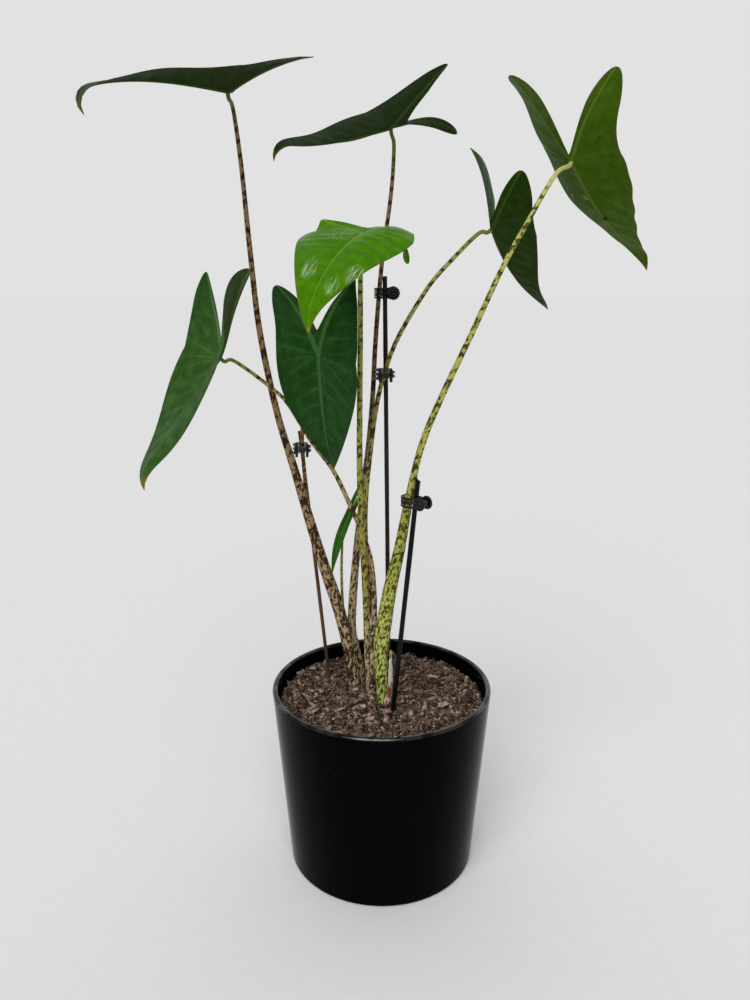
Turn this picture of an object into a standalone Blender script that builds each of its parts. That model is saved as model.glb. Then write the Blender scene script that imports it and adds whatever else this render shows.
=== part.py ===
# Potted zebra alocasia: eight arrow-shaped leaves on banded stems, in a straight glossy pot of soil,
# with three plant stakes and four claw clips. Metres, +Z up, origin at the centre of the pot's base.
# The viewer's side is -Y. Sizes below are in millimetres and degrees unless a name says otherwise.
import bpy
import bmesh
import math
import numpy as np
from mathutils import Vector

MM = 0.001
GAP = 0.3               # clearance between touching pieces

# Pot and soil
POT_HEIGHT = 164.0
POT_BASE_RADIUS = 82.0
POT_RIM_RADIUS = 95.0
POT_WALL = 5.0
POT_FLOOR = 8.0
LIP_RADIUS = 2.4
FOOT_RADIUS = 3.0
SOIL_TOP = 150.0        # mean height of the soil's surface
SOIL_MOUND = 3.0        # rise of the soil towards its middle
SOIL_LUMP = 2.2         # height of its lumps
SOIL_RINGS = 12
SOIL_SPOKES = 38
SOIL_GAP = 0.5          # between the soil and the pot's wall

# The root stock that the stems grow from
CORM_CENTRE = (-12.0, 6.5, 121.0)
CORM_HALF_SIZES = (37.0, 17.0, 13.0)
CORM_TURN = -63.4

# Blades
BLADE_THICKNESS = 0.8
RIB_THICKNESS = 2.0
TRACK_STEPS = 24        # steps in which a blade's curved centre line is added up
FRONT_ROWS = 11
THROAT_ROWS = 2
LOBE_ROWS = 7
ACROSS = 4
CURL_FROM = 0.75        # share of the midrib where its tip starts to curl
ROUND_FROM = 0.62       # share of a lobe where its end starts to round
VEIN_AT = 0.45          # where a lobe's main vein lies, from its inner edge to its outer
RIB_REACH = 4.0         # from a vein's middle to where its thickening ends

# Stems and stakes
STEM_STEPS = 15
LONG_STEM_STEPS = 19    # for the stem with the most bends
FIRST_LEG = 4.5         # length over which a stem leaves its blade squarely
STRAIGHT_BELOW = 160.0  # height below which stems stand upright
HOLE_CLEARANCE = 0.5
SIDES_ROOM = 1.06       # widens a hole, because its flat sides lie inside its radius
HOLE_ABOVE = 22.0       # how far the hole cutters pass the soil's top
HOLE_SIDES = 4          # roundness of a hole, in bevel steps
STAKE_SIDES = 3

# The dried leaf base
SHEATH_BURIED = 7.0
SHEATH_RISE = 54.0
SHEATH_ROWS = 9
SHEATH_COLUMNS = 6
SHEATH_THICKNESS = 0.8
SHEATH_STANDS_OFF = 1.4
SHEATH_BULGE = 1.6
SHEATH_FLARE = 0.8
SHEATH_FACING = -12.0   # degrees round the stem, 0 towards +X
SHEATH_SPREAD = 68.0    # half of the angle that its foot covers
SHEATH_TIP_SPREAD = 3.0
SHEATH_HOLE_ROOM = 2.0

# Claw clips
DISC_RADIUS = 5.6
DISC_THICKNESS = 2.2
DISC_FLUTES = 12
FLUTE_DEPTH = 0.7
BUTTON_RADIUS = 1.9
BUTTON_TOP_RADIUS = 1.3
BUTTON_RISE = 1.0
DISC_STANDS_OFF = 3.1   # from the tines' circle to the discs' centres
JAW_SPREAD = 4.4        # from the clip's middle plane to each disc's middle
TINE_RADIUS = 0.6
TINE_END_RADIUS = 0.35
TINE_SPACING = 3.4
TINE_ROOT = 1.5         # from the disc's centre to where a tine starts inside it
TINE_START = 132.0      # angles round the clip's middle, 180 at the discs
TINE_END = -45.0
TINE_STEPS = 8
SPRING_TURNS = 3
SPRING_RADIUS = 2.6
SPRING_CORE = 2.0
SPRING_WIRE = 0.6


def clear_scene():
    for obj in list(bpy.data.objects):
        bpy.data.objects.remove(obj, do_unlink=True)


def new_collection(name):
    collection = bpy.data.collections.new(name)
    bpy.context.scene.collection.children.link(collection)
    return collection


def material(name, colour, roughness, metallic=0.0):
    made = bpy.data.materials.new(name)
    made.use_nodes = True
    shader = made.node_tree.nodes["Principled BSDF"]
    shader.inputs["Base Color"].default_value = (*colour, 1.0)
    shader.inputs["Roughness"].default_value = roughness
    shader.inputs["Metallic"].default_value = metallic
    return made


def place(name, mesh, collection, finish=None):
    obj = bpy.data.objects.new(name, mesh)
    collection.objects.link(obj)
    if finish:
        mesh.materials.append(finish)
    return obj


def as_cutter(obj):
    obj.hide_render = True
    obj.display_type = "WIRE"
    return obj


def mesh_from(name, build):
    """A mesh filled by build(bm)."""
    bm = bmesh.new()
    build(bm)
    mesh = bpy.data.meshes.new(name)
    bm.to_mesh(mesh)
    bm.free()
    return mesh


def turned(name, profile, collection, finish, steps):
    """A profile of (radius, height) points in mm, turned about the Z axis."""

    def build(bm):
        points = [bm.verts.new((r * MM, 0.0, z * MM)) for r, z in profile]
        for a, b in zip(points, points[1:]):
            bm.edges.new((a, b))

    obj = place(name, mesh_from(name, build), collection, finish)
    screw = obj.modifiers.new("Screw", "SCREW")
    screw.steps = steps
    screw.render_steps = steps
    screw.use_merge_vertices = True
    screw.merge_threshold = 0.00001
    return obj


def arc(centre, radius, start, end, count):
    """Points of an arc in the profile's plane, angles in degrees."""
    return [
        (
            centre[0] + radius * math.cos(math.radians(start + (end - start) * i / count)),
            centre[1] + radius * math.sin(math.radians(start + (end - start) * i / count)),
        )
        for i in range(count + 1)
    ]


def wall_radius(height):
    """Outer radius of the pot's tapering wall at a height."""
    share = height / POT_HEIGHT
    return POT_BASE_RADIUS + (POT_RIM_RADIUS - POT_BASE_RADIUS) * share


def make_pot(collection, finish):
    lip = arc((POT_RIM_RADIUS - LIP_RADIUS, POT_HEIGHT - LIP_RADIUS), LIP_RADIUS, 150, 0, 5)
    foot = arc((POT_BASE_RADIUS - FOOT_RADIUS, FOOT_RADIUS), FOOT_RADIUS, 0, -90, 3)
    inner = wall_radius(POT_FLOOR) - POT_WALL
    profile = [(0.0, POT_FLOOR), (inner - FOOT_RADIUS, POT_FLOOR), (inner, POT_FLOOR + FOOT_RADIUS)]
    profile += [*lip, *foot, (0.0, 0.0)]
    return turned("pot", profile, collection, finish, 48)


def lumps(x, y):
    """Height of the soil's lumps: a few crossed waves that never line up."""
    wave = math.sin(0.31 * x + 1.7 * math.sin(0.13 * y))
    wave += math.sin(0.37 * y + 1.9 * math.sin(0.17 * x + 0.8))
    wave += 0.7 * math.sin(0.61 * x - 0.53 * y + 1.1)
    return SOIL_LUMP * wave / 2.7


def soil_height(x, y):
    share = min(1.0, math.hypot(x, y) / POT_RIM_RADIUS)
    return SOIL_TOP + SOIL_MOUND * (1 - share**2) + lumps(x, y)


def make_soil(collection, finish):
    top_radius = wall_radius(SOIL_TOP) - POT_WALL - SOIL_GAP
    low_radius = wall_radius(POT_FLOOR) - POT_WALL - FOOT_RADIUS - SOIL_GAP

    def build(bm):
        rings = []
        for ring in range(1, SOIL_RINGS + 1):
            radius = top_radius * (ring / SOIL_RINGS) ** 0.8
            row = []
            for spoke in range(SOIL_SPOKES):
                angle = 2 * math.pi * (spoke + 0.5 * (ring % 2)) / SOIL_SPOKES
                x, y = radius * math.cos(angle), radius * math.sin(angle)
                row.append(bm.verts.new((x * MM, y * MM, soil_height(x, y) * MM)))
            rings.append(row)
        base = []
        for spoke in range(SOIL_SPOKES):
            angle = 2 * math.pi * (spoke + 0.5 * (SOIL_RINGS % 2)) / SOIL_SPOKES
            x, y = low_radius * math.cos(angle), low_radius * math.sin(angle)
            base.append(bm.verts.new((x * MM, y * MM, (POT_FLOOR + GAP) * MM)))
        rings.append(base)
        middle = bm.verts.new((0.0, 0.0, soil_height(0.0, 0.0) * MM))
        for spoke in range(SOIL_SPOKES):
            bm.faces.new((middle, rings[0][spoke], rings[0][(spoke + 1) % SOIL_SPOKES]))
        for upper, lower in zip(rings, rings[1:]):
            for spoke in range(SOIL_SPOKES):
                after = (spoke + 1) % SOIL_SPOKES
                bm.faces.new((upper[spoke], lower[spoke], lower[after], upper[after]))
        bm.faces.new(list(reversed(base)))
        bmesh.ops.triangulate(bm, faces=bm.faces)

    return place("soil", mesh_from("soil", build), collection, finish)


def ellipsoid(name, centre, half_sizes, turn, collection, finish, segments=20, rings=12):
    def build(bm):
        bmesh.ops.create_uvsphere(bm, u_segments=segments, v_segments=rings, radius=MM)
        bmesh.ops.scale(bm, vec=half_sizes, verts=bm.verts)

    obj = place(name, mesh_from(name, build), collection, finish)
    obj.location = Vector(centre) * MM
    obj.rotation_euler = (0.0, 0.0, math.radians(turn))
    return obj


def corm_top(x, y, foot_radius):
    """Greatest height of the root stock's upper side under a stem's foot at (x, y)."""
    turn = math.radians(CORM_TURN)
    dx, dy = x - CORM_CENTRE[0], y - CORM_CENTRE[1]
    inward = max(0.0, 1 - foot_radius / max(math.hypot(dx, dy), 0.001))
    dx, dy = dx * inward, dy * inward
    along = dx * math.cos(turn) + dy * math.sin(turn)
    across = dy * math.cos(turn) - dx * math.sin(turn)
    rest = 1 - (along / CORM_HALF_SIZES[0]) ** 2 - (across / CORM_HALF_SIZES[1]) ** 2
    return CORM_CENTRE[2] + CORM_HALF_SIZES[2] * math.sqrt(max(rest, 0.0))


def smooth_route(route, count):
    """Points evenly spaced along a smooth curve through the route's own points."""
    route = [np.array(p, float) for p in route]
    ends = [2 * route[0] - route[1], *route, 2 * route[-1] - route[-2]]
    fine = []
    for a, b, c, d in zip(ends, ends[1:], ends[2:], ends[3:]):
        for i in range(12):
            t = i / 12
            fine.append(
                0.5 * (2 * b + (c - a) * t + (2 * a - 5 * b + 4 * c - d) * t**2
                       + (3 * b - 3 * c + d - a) * t**3)
            )
    fine.append(route[-1])
    fine = np.array(fine)
    length = np.concatenate([[0], np.cumsum(np.linalg.norm(np.diff(fine, axis=0), axis=1))])
    even = np.linspace(0, length[-1], count)
    return np.stack([np.interp(even, length, fine[:, k]) for k in range(3)], axis=1)


def tube(name, points, radii, collection, finish, resolution=2):
    """A tube along points in mm, with a radius in mm at each, as a closed mesh object."""
    curve = bpy.data.curves.new(name, "CURVE")
    curve.dimensions = "3D"
    curve.bevel_depth = MM
    curve.bevel_resolution = resolution
    curve.use_fill_caps = True
    spline = curve.splines.new("POLY")
    spline.points.add(len(points) - 1)
    for knot, point, radius in zip(spline.points, points, radii):
        knot.co = (*(np.array(point) * MM), 1.0)
        knot.radius = radius
    guide = bpy.data.objects.new(name + "_guide", curve)
    collection.objects.link(guide)
    bpy.context.view_layer.update()
    graph = bpy.context.evaluated_depsgraph_get()
    mesh = bpy.data.meshes.new_from_object(guide.evaluated_get(graph))
    bm = bmesh.new()
    bm.from_mesh(mesh)
    bmesh.ops.remove_doubles(bm, verts=bm.verts, dist=0.000001)
    bm.to_mesh(mesh)
    bm.free()
    bpy.data.objects.remove(guide, do_unlink=True)
    mesh.name = name
    mesh.materials.clear()
    return place(name, mesh, collection, finish)


def point_at_height(points, height):
    """Where a tube's centre line passes a height."""
    order = np.argsort(points[:, 2])
    return np.array([np.interp(height, points[order, 2], points[order, k]) for k in range(3)])


# A blade is laid out flat, then bent. Along it, u runs from the tip (u = length) through the stem's
# joint (u = 0) back to the tips of the two lobes (u < 0). Across it, v runs out from the midrib.
# Angles: heading is 0 towards +X and 90 towards +Y, pitch is up, roll lowers the right side.
# Droop and curl bend the tip down, lift raises a lobe, fold raises a half, cup curves its edge up.
def half(width, lobe, outer, inner, fold, tip_fold, lobe_fold, cup, lift, sway=0.0, turn=0.0):
    return {
        "width": width, "lobe": lobe, "outer": outer, "inner": inner,
        "fold": fold, "tip_fold": tip_fold, "lobe_fold": lobe_fold,
        "cup": cup, "lift": lift, "sway": sway, "turn": turn,
    }


LEAVES = {
    "upper_left": {
        "joint": (-113.0, -5.0, 637.5), "heading": 223, "pitch": 0.8, "roll": 11,
        "length": 138.0, "taper": 1.4, "bulge": -0.1, "sinus": 0.08,
        "droop": 30, "curl": 90, "sweep": -9, "twist": -11,
        "wave": (0.8, 2.5, 0.1),
        "left": half(24.5, 54.0, 56.0, 34.0, 45, 0, 43, -40, 13, -1, 12),
        "right": half(24.5, 42.0, 51.0, 33.5, 40, 16, 18, -21, 53, 15, -4),
    },
    "upper_middle": {
        "joint": (6.0, 7.0, 615.0), "heading": 144, "pitch": -7, "roll": -3,
        "length": 135.5, "taper": 1.4, "bulge": -0.06, "sinus": 0.28,
        "droop": -22, "curl": 90, "sweep": 10, "twist": 7,
        "wave": (0.8, 2.5, 0.6),
        "left": half(31.5, 60.0, 44.5, 34.0, 30, 20, 40, -30, 3, -15, 14),
        "right": half(26.0, 42.0, 51.0, 34.0, 31, 15, 19, -40, 0, -15, -5),
    },
    "young": {
        "joint": (-15.5, -52.0, 536.5), "heading": -108, "pitch": -15, "roll": 0,
        "length": 131.5, "taper": 1.5, "bulge": -0.07, "sinus": 0.28,
        "droop": 29, "curl": 51, "sweep": -3, "twist": -22,
        "wave": (0.8, 2, 0.4),
        "left": half(38.5, 67.5, 20.0, 34.0, 9, -1, 7, -40, -50, -20, 0),
        "right": half(41.0, 45.5, 42.0, 33.0, 12, 10, 5, -21, 40, -20, 2),
    },
    "left": {
        "joint": (-124.0, -25.0, 447.5), "heading": 227, "pitch": -46, "roll": 25,
        "length": 121.0, "taper": 1.72, "bulge": -0.05, "sinus": 0.08,
        "droop": -2, "curl": 59, "sweep": -6, "twist": -12,
        "wave": (0.8, 2, 0.2),
        "left": half(39.0, 53.5, 44.5, 32.0, 25, -25, 60, -21, -28, 9, 25),
        "right": half(36.5, 58.5, 44.0, 34.0, 30, -11, 60, 24, 15, -3, -23),
    },
    "front": {
        "joint": (-49.5, -12.0, 448.0), "heading": -102, "pitch": -99, "roll": 21,
        "length": 101.5, "taper": 1.79, "bulge": 0.09, "sinus": 0.33,
        "droop": 22, "curl": 7, "sweep": 3, "twist": 6,
        "wave": (0.8, 2, 0.5),
        "left": half(42.0, 64.0, 25.5, 20.5, 18, 17, -11, -10, -22, 5, -9),
        "right": half(39.5, 58.0, 35.5, 12.5, 9, 6, 4, -4, 30, -2, 2),
    },
    "right": {
        "joint": (86.5, 24.0, 544.0), "heading": 69, "pitch": -29, "roll": 47,
        "length": 138.5, "taper": 1.85, "bulge": -0.1, "sinus": 0.15,
        "droop": -25, "curl": 12, "sweep": 15, "twist": -14,
        "wave": (0.8, 2, 0.3),
        "left": half(34.0, 64.5, 31.5, 30.0, 45, -4, 37, -17, -15, -7, 12),
        "right": half(37.0, 65.5, 37.0, 20.5, 36, 13, 26, 4, 20, 10, -9),
    },
    "upper_right": {
        "joint": (141.0, 0.0, 591.0), "heading": 49, "pitch": -39, "roll": 1,
        "length": 138.0, "taper": 1.4, "bulge": 0.18, "sinus": 0.08,
        "droop": -25, "curl": 74, "sweep": 15, "twist": -4,
        "wave": (1.5, 3, 0.35),
        "left": half(39.0, 78.0, 53.5, 5.0, 19, 14, 23, 24, 19, 20, -1),
        "right": half(38.5, 69.0, 54.5, 31.0, 8, -22, 2, -9, 50, -10, 1),
    },
    "new": {
        "joint": (-29.2, 12.5, 309.8), "heading": 180, "pitch": -66, "roll": -90,
        "length": 54.0, "taper": 2.2, "bulge": 0.2, "sinus": 0.3,
        "droop": 6, "curl": 8, "sweep": -18, "twist": 6,
        "wave": (0, 2, 0),
        "left": half(3.5, 36.0, 3.2, 0.8, 14, 10, 10, -5, -3, 0, 0),
        "right": half(3.5, 34.0, 3.2, 0.8, 14, 10, 12, -7, 3, 0, 0),
    },
}


def start_frame(leaf):
    """Unit vectors at the stem's joint: forward along the midrib, up from the upper face, right."""
    heading, pitch, roll = (math.radians(leaf[key]) for key in ("heading", "pitch", "roll"))
    flat = np.array([math.cos(heading), math.sin(heading), 0.0])
    rise = np.array([0.0, 0.0, 1.0])
    forward = flat * math.cos(pitch) + rise * math.sin(pitch)
    up = rise * math.cos(pitch) - flat * math.sin(pitch)
    right = np.cross(forward, up)
    up = up * math.cos(roll) + right * math.sin(roll)
    return forward, up, np.cross(forward, up)


def bent_track(frame, length, drop, sweep, twist, sign):
    """Centre line, forward and up vectors at even steps, for angles in degrees at those steps."""
    forward, up, right = frame
    drop, sweep, twist = (np.radians(a)[:, None] for a in (drop, sweep, twist))
    heading = (forward * np.cos(drop) - up * np.sin(drop)) * np.cos(sweep) + right * np.sin(sweep)
    normal = up * np.cos(drop) + forward * np.sin(drop)
    side = np.cross(heading, normal)
    normal = normal * np.cos(twist) + side * np.sin(twist)
    steps = (heading[1:] + heading[:-1]) / 2 * length / TRACK_STEPS * sign
    centre = np.concatenate([np.zeros((1, 3)), np.cumsum(steps, axis=0)])
    return centre, heading, normal


def leaf_tracks(leaf):
    frame = start_frame(leaf)
    share = np.linspace(0, 1, TRACK_STEPS + 1)
    near_tip = np.clip((share - CURL_FROM) / (1 - CURL_FROM), 0, 1)
    droop = leaf["droop"] * share**1.6 + leaf["curl"] * near_tip**2
    sweep, twist = leaf["sweep"] * share, leaf["twist"] * share
    tracks = {"midrib": bent_track(frame, leaf["length"], droop, sweep, twist, 1)}
    for side in ("left", "right"):
        lobe = leaf[side]
        bends = (lobe[key] * share for key in ("lift", "sway", "turn"))
        tracks[side] = bent_track(frame, lobe["lobe"], *bends, -1)
    return tracks


def throat(leaf):
    """Distance from the stem's joint back to where the two lobes part."""
    return leaf["sinus"] * (leaf["left"]["lobe"] + leaf["right"]["lobe"]) / 2


def outline(leaf, side, u):
    """Inner and outer edge of a half at each u."""
    shape = leaf[side]
    width, back = shape["width"], shape["lobe"]
    ahead = np.clip(u / leaf["length"], 0, 1)
    front_edge = width * (1 - ahead ** leaf["taper"]) * (1 + 4 * leaf["bulge"] * ahead * (1 - ahead))
    x = np.clip(-u / back, 0, 1)
    start = throat(leaf) / back
    outer = width + (shape["outer"] - width) * x**1.3
    inner = shape["inner"] * np.clip((x - start) / (1 - start), 0, 1) ** 0.85
    rounding = np.sqrt(np.clip(1 - (np.clip(x - ROUND_FROM, 0, 1) / (1 - ROUND_FROM)) ** 2, 0, 1))
    middle = inner + (outer - inner) * VEIN_AT
    inner = np.maximum(middle - (middle - inner) * rounding, 0)
    outer = middle + (outer - middle) * rounding
    return np.where(u >= 0, 0, inner), np.where(u >= 0, front_edge, outer)


def along(track, share):
    """Centre, forward and up vectors at a share of a track's length."""
    step = np.clip(share, 0, 1) * TRACK_STEPS
    first = np.minimum(step.astype(int), TRACK_STEPS - 1)
    part = (step - first)[:, None]
    return [values[first] * (1 - part) + values[first + 1] * part for values in track]


def bend_half(leaf, side, u, v, tracks):
    """Points in mm, from the stem's joint, for flat positions (u, v) on one half of a blade."""
    shape = leaf[side]
    sign = 1.0 if side == "right" else -1.0
    other = "left" if side == "right" else "right"
    edge = np.maximum(outline(leaf, side, u)[1], 1e-3)
    result = np.zeros((len(u), 3))
    for behind in (False, True):
        part = (u < 0) if behind else (u >= 0)
        if not part.any():
            continue
        length = shape["lobe"] if behind else leaf["length"]
        share = np.clip(np.abs(u[part]) / length, 0, 1)
        centre, forward, up = along(tracks[side if behind else "midrib"], share)
        if behind:
            # The two lobes share their centre line as far as the throat, then part.
            mirror = along(tracks[other], np.abs(u[part]) / leaf[other]["lobe"])[0]
            parted = np.clip((np.abs(u[part]) - throat(leaf)) / (length - throat(leaf)), 0, 1)
            parted = parted[:, None] ** 0.7
            centre = (centre + mirror) / 2 * (1 - parted) + centre * parted
        outward = np.cross(forward, up) * sign
        end_fold = shape["lobe_fold"] if behind else shape["tip_fold"]
        fold = np.radians(shape["fold"] + (end_fold - shape["fold"]) * share)
        curve = math.radians(shape["cup"] or 0.01) / shape["width"]
        across = (np.sin(fold + curve * v[part]) - np.sin(fold)) / curve
        rise = (np.cos(fold) - np.cos(fold + curve * v[part])) / curve
        run = (leaf["length"] - u[part]) / (leaf["length"] + shape["lobe"])
        height, count, phase = leaf["wave"]
        shift = 1.3 if side == "left" else 0.0
        ripple = height * np.sin(2 * np.pi * (count * run + phase) + shift)
        rise = rise + ripple * (v[part] / edge[part]) ** 2 * np.sqrt(np.sin(np.pi * np.clip(run, 0, 1)))
        result[part] = centre + across[:, None] * outward + rise[:, None] * up
    return result


def blade_grid(leaf, side):
    """Flat positions (u, v) of a half, row by row from the tip to the lobe's end."""
    length, back, open_at = leaf["length"], leaf[side]["lobe"], throat(leaf)
    front = length * (1 - np.linspace(0, 1, FRONT_ROWS + 1)[1:] ** 1.4)
    neck = -open_at * np.linspace(0, 1, THROAT_ROWS + 1)[1:]
    rest = -(open_at + (back - open_at) * (1 - (1 - np.linspace(0, 1, LOBE_ROWS + 1)[1:-1]) ** 1.8))
    u = np.concatenate([front, neck, rest])
    inner, outer = outline(leaf, side, u)
    share = np.linspace(0, 1, ACROSS + 1)
    return u, inner[:, None] + (outer - inner)[:, None] * share


def rib_weight(leaf, side, u, v):
    """How much of the rib's thickness a point has: full on the midrib and each lobe's main vein."""
    lobe = leaf[side]
    vein = (lobe["inner"] + VEIN_AT * (lobe["outer"] - lobe["inner"])) * np.clip(-u / lobe["lobe"], 0, 1)
    distance = np.abs(v - vein)
    along_blade = np.clip(1 - np.abs(u) / np.where(u > 0, leaf["length"], lobe["lobe"]), 0, 1)
    return np.clip(1 - distance / RIB_REACH, 0, 1) * (0.25 + 0.75 * along_blade)


def make_blade(name, leaf, collection, finish, thicker=0.0):
    """A blade, thickest along its veins. With thicker above 0, it is that much thicker all over."""
    joint = np.array(leaf["joint"])
    tracks = leaf_tracks(leaf)
    greatest = RIB_THICKNESS + thicker
    weights = []
    bm = bmesh.new()

    def vertex(point, rib):
        here = BLADE_THICKNESS + (RIB_THICKNESS - BLADE_THICKNESS) * float(rib) + thicker
        weights.append(here / greatest)
        return bm.verts.new((joint + point) * MM)

    tip = vertex(tracks["midrib"][0][-1], 0.2)
    shared = {}
    for side in ("left", "right"):
        u, v = blade_grid(leaf, side)
        flat_u = np.repeat(u, ACROSS + 1)
        points = bend_half(leaf, side, flat_u, v.ravel(), tracks).reshape(len(u), ACROSS + 1, 3)
        ribs = rib_weight(leaf, side, flat_u, v.ravel()).reshape(len(u), ACROSS + 1)
        rows = []
        for i in range(len(u)):
            row = []
            for j in range(ACROSS + 1):
                if j == 0 and i < FRONT_ROWS + THROAT_ROWS:
                    if i not in shared:
                        shared[i] = vertex(points[i, j], ribs[i, j])
                    row.append(shared[i])
                else:
                    row.append(vertex(points[i, j], ribs[i, j]))
            rows.append(row)
        lobe_u = np.array([-leaf[side]["lobe"]])
        lobe_v = outline(leaf, side, lobe_u)[1]
        lobe_tip = vertex(bend_half(leaf, side, lobe_u, lobe_v, tracks)[0], 0.1)
        flip = side == "left"

        def face(corners):
            bm.faces.new(list(reversed(corners)) if flip else corners)

        for j in range(ACROSS):
            face([tip, rows[0][j + 1], rows[0][j]])
            face([lobe_tip, rows[-1][j], rows[-1][j + 1]])
        for near, far in zip(rows, rows[1:]):
            for j in range(ACROSS):
                face([near[j], near[j + 1], far[j + 1], far[j]])
    bmesh.ops.triangulate(bm, faces=bm.faces)
    mesh = bpy.data.meshes.new(name)
    bm.to_mesh(mesh)
    bm.free()
    obj = place(name, mesh, collection, finish)
    group = obj.vertex_groups.new(name="thickness")
    for index, weight in enumerate(weights):
        group.add([index], weight, "REPLACE")
    solid = obj.modifiers.new("Solidify", "SOLIDIFY")
    solid.thickness = greatest * MM
    solid.offset = 0.0
    solid.vertex_group = group.name
    mesh.shade_smooth()
    return obj


# Stems: routes run from the blade's joint down to the foot on the root stock. The first leg leaves
# the blade square to its underside. Radii are at the top, half way, at the swell and at the foot,
# and swell_at is the share of the stem's height, from the top down, where the swell lies.
STEMS = {
    "upper_left": {
        "via": [(-112.0, 11.0, 628), (-108.0, 13, 590), (-103.9, 15, 528), (-98.8, 17, 466),
                (-87.2, 18, 401), (-73.4, 18.5, 350), (-54.3, 18, 280), (-37.5, 17.5, 225),
                (-28.0, 17.2, 182)],
        "foot": (-25.0, 17.0), "radii": (1.5, 2.9, 5.3, 5.3), "swell_at": 0.78,
    },
    "upper_middle": {
        "via": [(8.5, 8.0, 602), (6.5, 10, 569), (-0.5, 15, 517), (-5.3, 21.8, 458),
                (-7.9, 23.3, 409), (-11.7, 23, 367), (-17.9, 23, 314), (-23.3, 23, 260), (-26.0, 24.0, 222),
                (-26.1, 25.5, 202), (-22.0, 25.5, 178)],
        "foot": (-19.3, 25.0), "radii": (1.4, 2.2, 3.7, 3.8), "swell_at": 0.78,
    },
    "young": {
        "via": [(-16.4, -38.0, 507), (-16.8, -32.5, 461), (-17.6, -23.5, 415), (-18.0, -16, 359),
                (-16.5, -13, 307), (-14.5, -11, 272), (-13.0, -8, 235), (-12.0, -5, 197)],
        "foot": (-10.0, -3.5), "radii": (1.7, 2.5, 3.2, 3.9), "swell_at": 0.88,
    },
    "left": {
        "via": [(-119.0, -2.0, 444), (-107.0, 0, 436), (-92.0, 6, 423), (-78.0, 14, 408),
                (-60.0, 20.5, 376), (-41.5, 21, 350), (-28.5, 10, 326), (-17.5, 0, 303),
                (-9.5, -4, 278), (-6.5, -10, 244), (-7.5, -12, 200)],
        "foot": (-8.5, -12.6), "radii": (1.4, 2.1, 3.0, 3.6), "swell_at": 0.88,
    },
    "front": {
        "via": [(-57.0, 14.0, 424), (-64.0, 22.0, 402), (-67.0, 24, 378), (-66.0, 25, 349),
                (-63.0, 26.5, 313), (-54.0, 29, 271), (-41.5, 31.5, 227), (-35.0, 33, 203),
                (-30.0, 33.5, 178)],
        "foot": (-27.0, 33.0), "radii": (1.4, 1.9, 2.8, 3.4), "swell_at": 0.88,
    },
    "right": {
        "via": [(75.0, 20, 540), (53.5, 18, 519), (36.0, 15, 499),
                (13.5, 12.5, 462), (2.5, 12.0, 434),
                (-5.2, 10.5, 402), (-11.4, 8.5, 352), (-13.6, 7, 327), (-14.2, 5.5, 300), (-12.5, 3.5, 268),
                (-8.0, 2, 232), (-3.5, 0.5, 195)],
        "foot": (-1.5, -1.0), "radii": (1.6, 2.1, 3.0, 3.7), "swell_at": 0.88,
    },
    "upper_right": {
        "via": [(127.0, -13.0, 580), (108.0, -22, 549), (89.5, -21, 514), (67.3, -17, 463),
                (44.8, -15.5, 413), (30.2, -15, 374), (20.7, -14.6, 328), (14.2, -15.3, 291),
                (6.6, -18, 257), (1.5, -19.3, 225), (-0.7, -19, 202), (0.3, -15.8, 172)],
        "foot": (0.3, -14.5), "radii": (1.6, 2.8, 6.6, 4.9), "swell_at": 0.8,
    },
    "new": {
        "via": [(-33.3, 19.2, 296), (-34.2, 19.3, 282), (-34.9, 19.3, 262), (-34.6, 21.0, 236),
                (-33.8, 23.9, 218), (-32.5, 25.2, 203)],
        "foot": (-29.5, 25.8), "radii": (1.0, 1.3, 1.5, 1.6), "swell_at": 0.88,
    },
}

# Stakes: top and foot on the middle line, and radius
STAKES = {
    "stake_tall": ((2.0, 20.0, 508.0), (8.2, 25.0, 40.0), 1.9),
    "stake_front": ((28.8, -19.3, 353.0), (0.9, -34.0, 65.0), 2.1),
    "stake_left": ((-69.8, 33.0, 381.0), (-40.2, 29.0, 75.0), 1.6),
}

# Clips: which stem and stake each one holds, at what height, and the side that its grips lie on
CLIPS = {
    "clip_top": ("upper_middle", "stake_tall", 495.0, 0.0),
    "clip_middle": ("right", "stake_tall", 431.0, -88.0),
    "clip_right": ("upper_right", "stake_front", 333.0, -46.0),
    "clip_left": ("front", "stake_left", 367.0, -86.0),
}


def stem_points(name):
    """Even points along a stem, from its blade to just above the root stock."""
    leaf, stem = LEAVES[name], STEMS[name]
    joint = np.array(leaf["joint"])
    up = start_frame(leaf)[1]
    x, y = stem["foot"]
    foot = [(x, y, STRAIGHT_BELOW), (x, y, corm_top(x, y, stem["radii"][3]) + GAP)]
    route = [joint, joint - up * FIRST_LEG, *stem["via"], *foot]
    return smooth_route(route, STEM_STEPS if name != "left" else LONG_STEM_STEPS)


def stem_radii(name, points):
    """Radius at each point: thin below the blade, swelling into the sheath near the foot."""
    stem = STEMS[name]
    height = points[0][2] - points[-1][2]
    share = [(points[0][2] - p[2]) / height for p in points]
    return np.interp(np.clip(share, 0, 1), [0.0, 0.5, stem["swell_at"], 1.0], stem["radii"])


def join_or_cut(obj, other, operation):
    """Applies a Boolean with another object, then removes that object."""
    modifier = obj.modifiers.new(other.name, "BOOLEAN")
    modifier.operation = operation
    modifier.object = other
    graph = bpy.context.evaluated_depsgraph_get()
    result = bpy.data.meshes.new_from_object(obj.evaluated_get(graph))
    obj.modifiers.clear()
    obj.data = result
    bpy.data.objects.remove(other, do_unlink=True)


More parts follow.
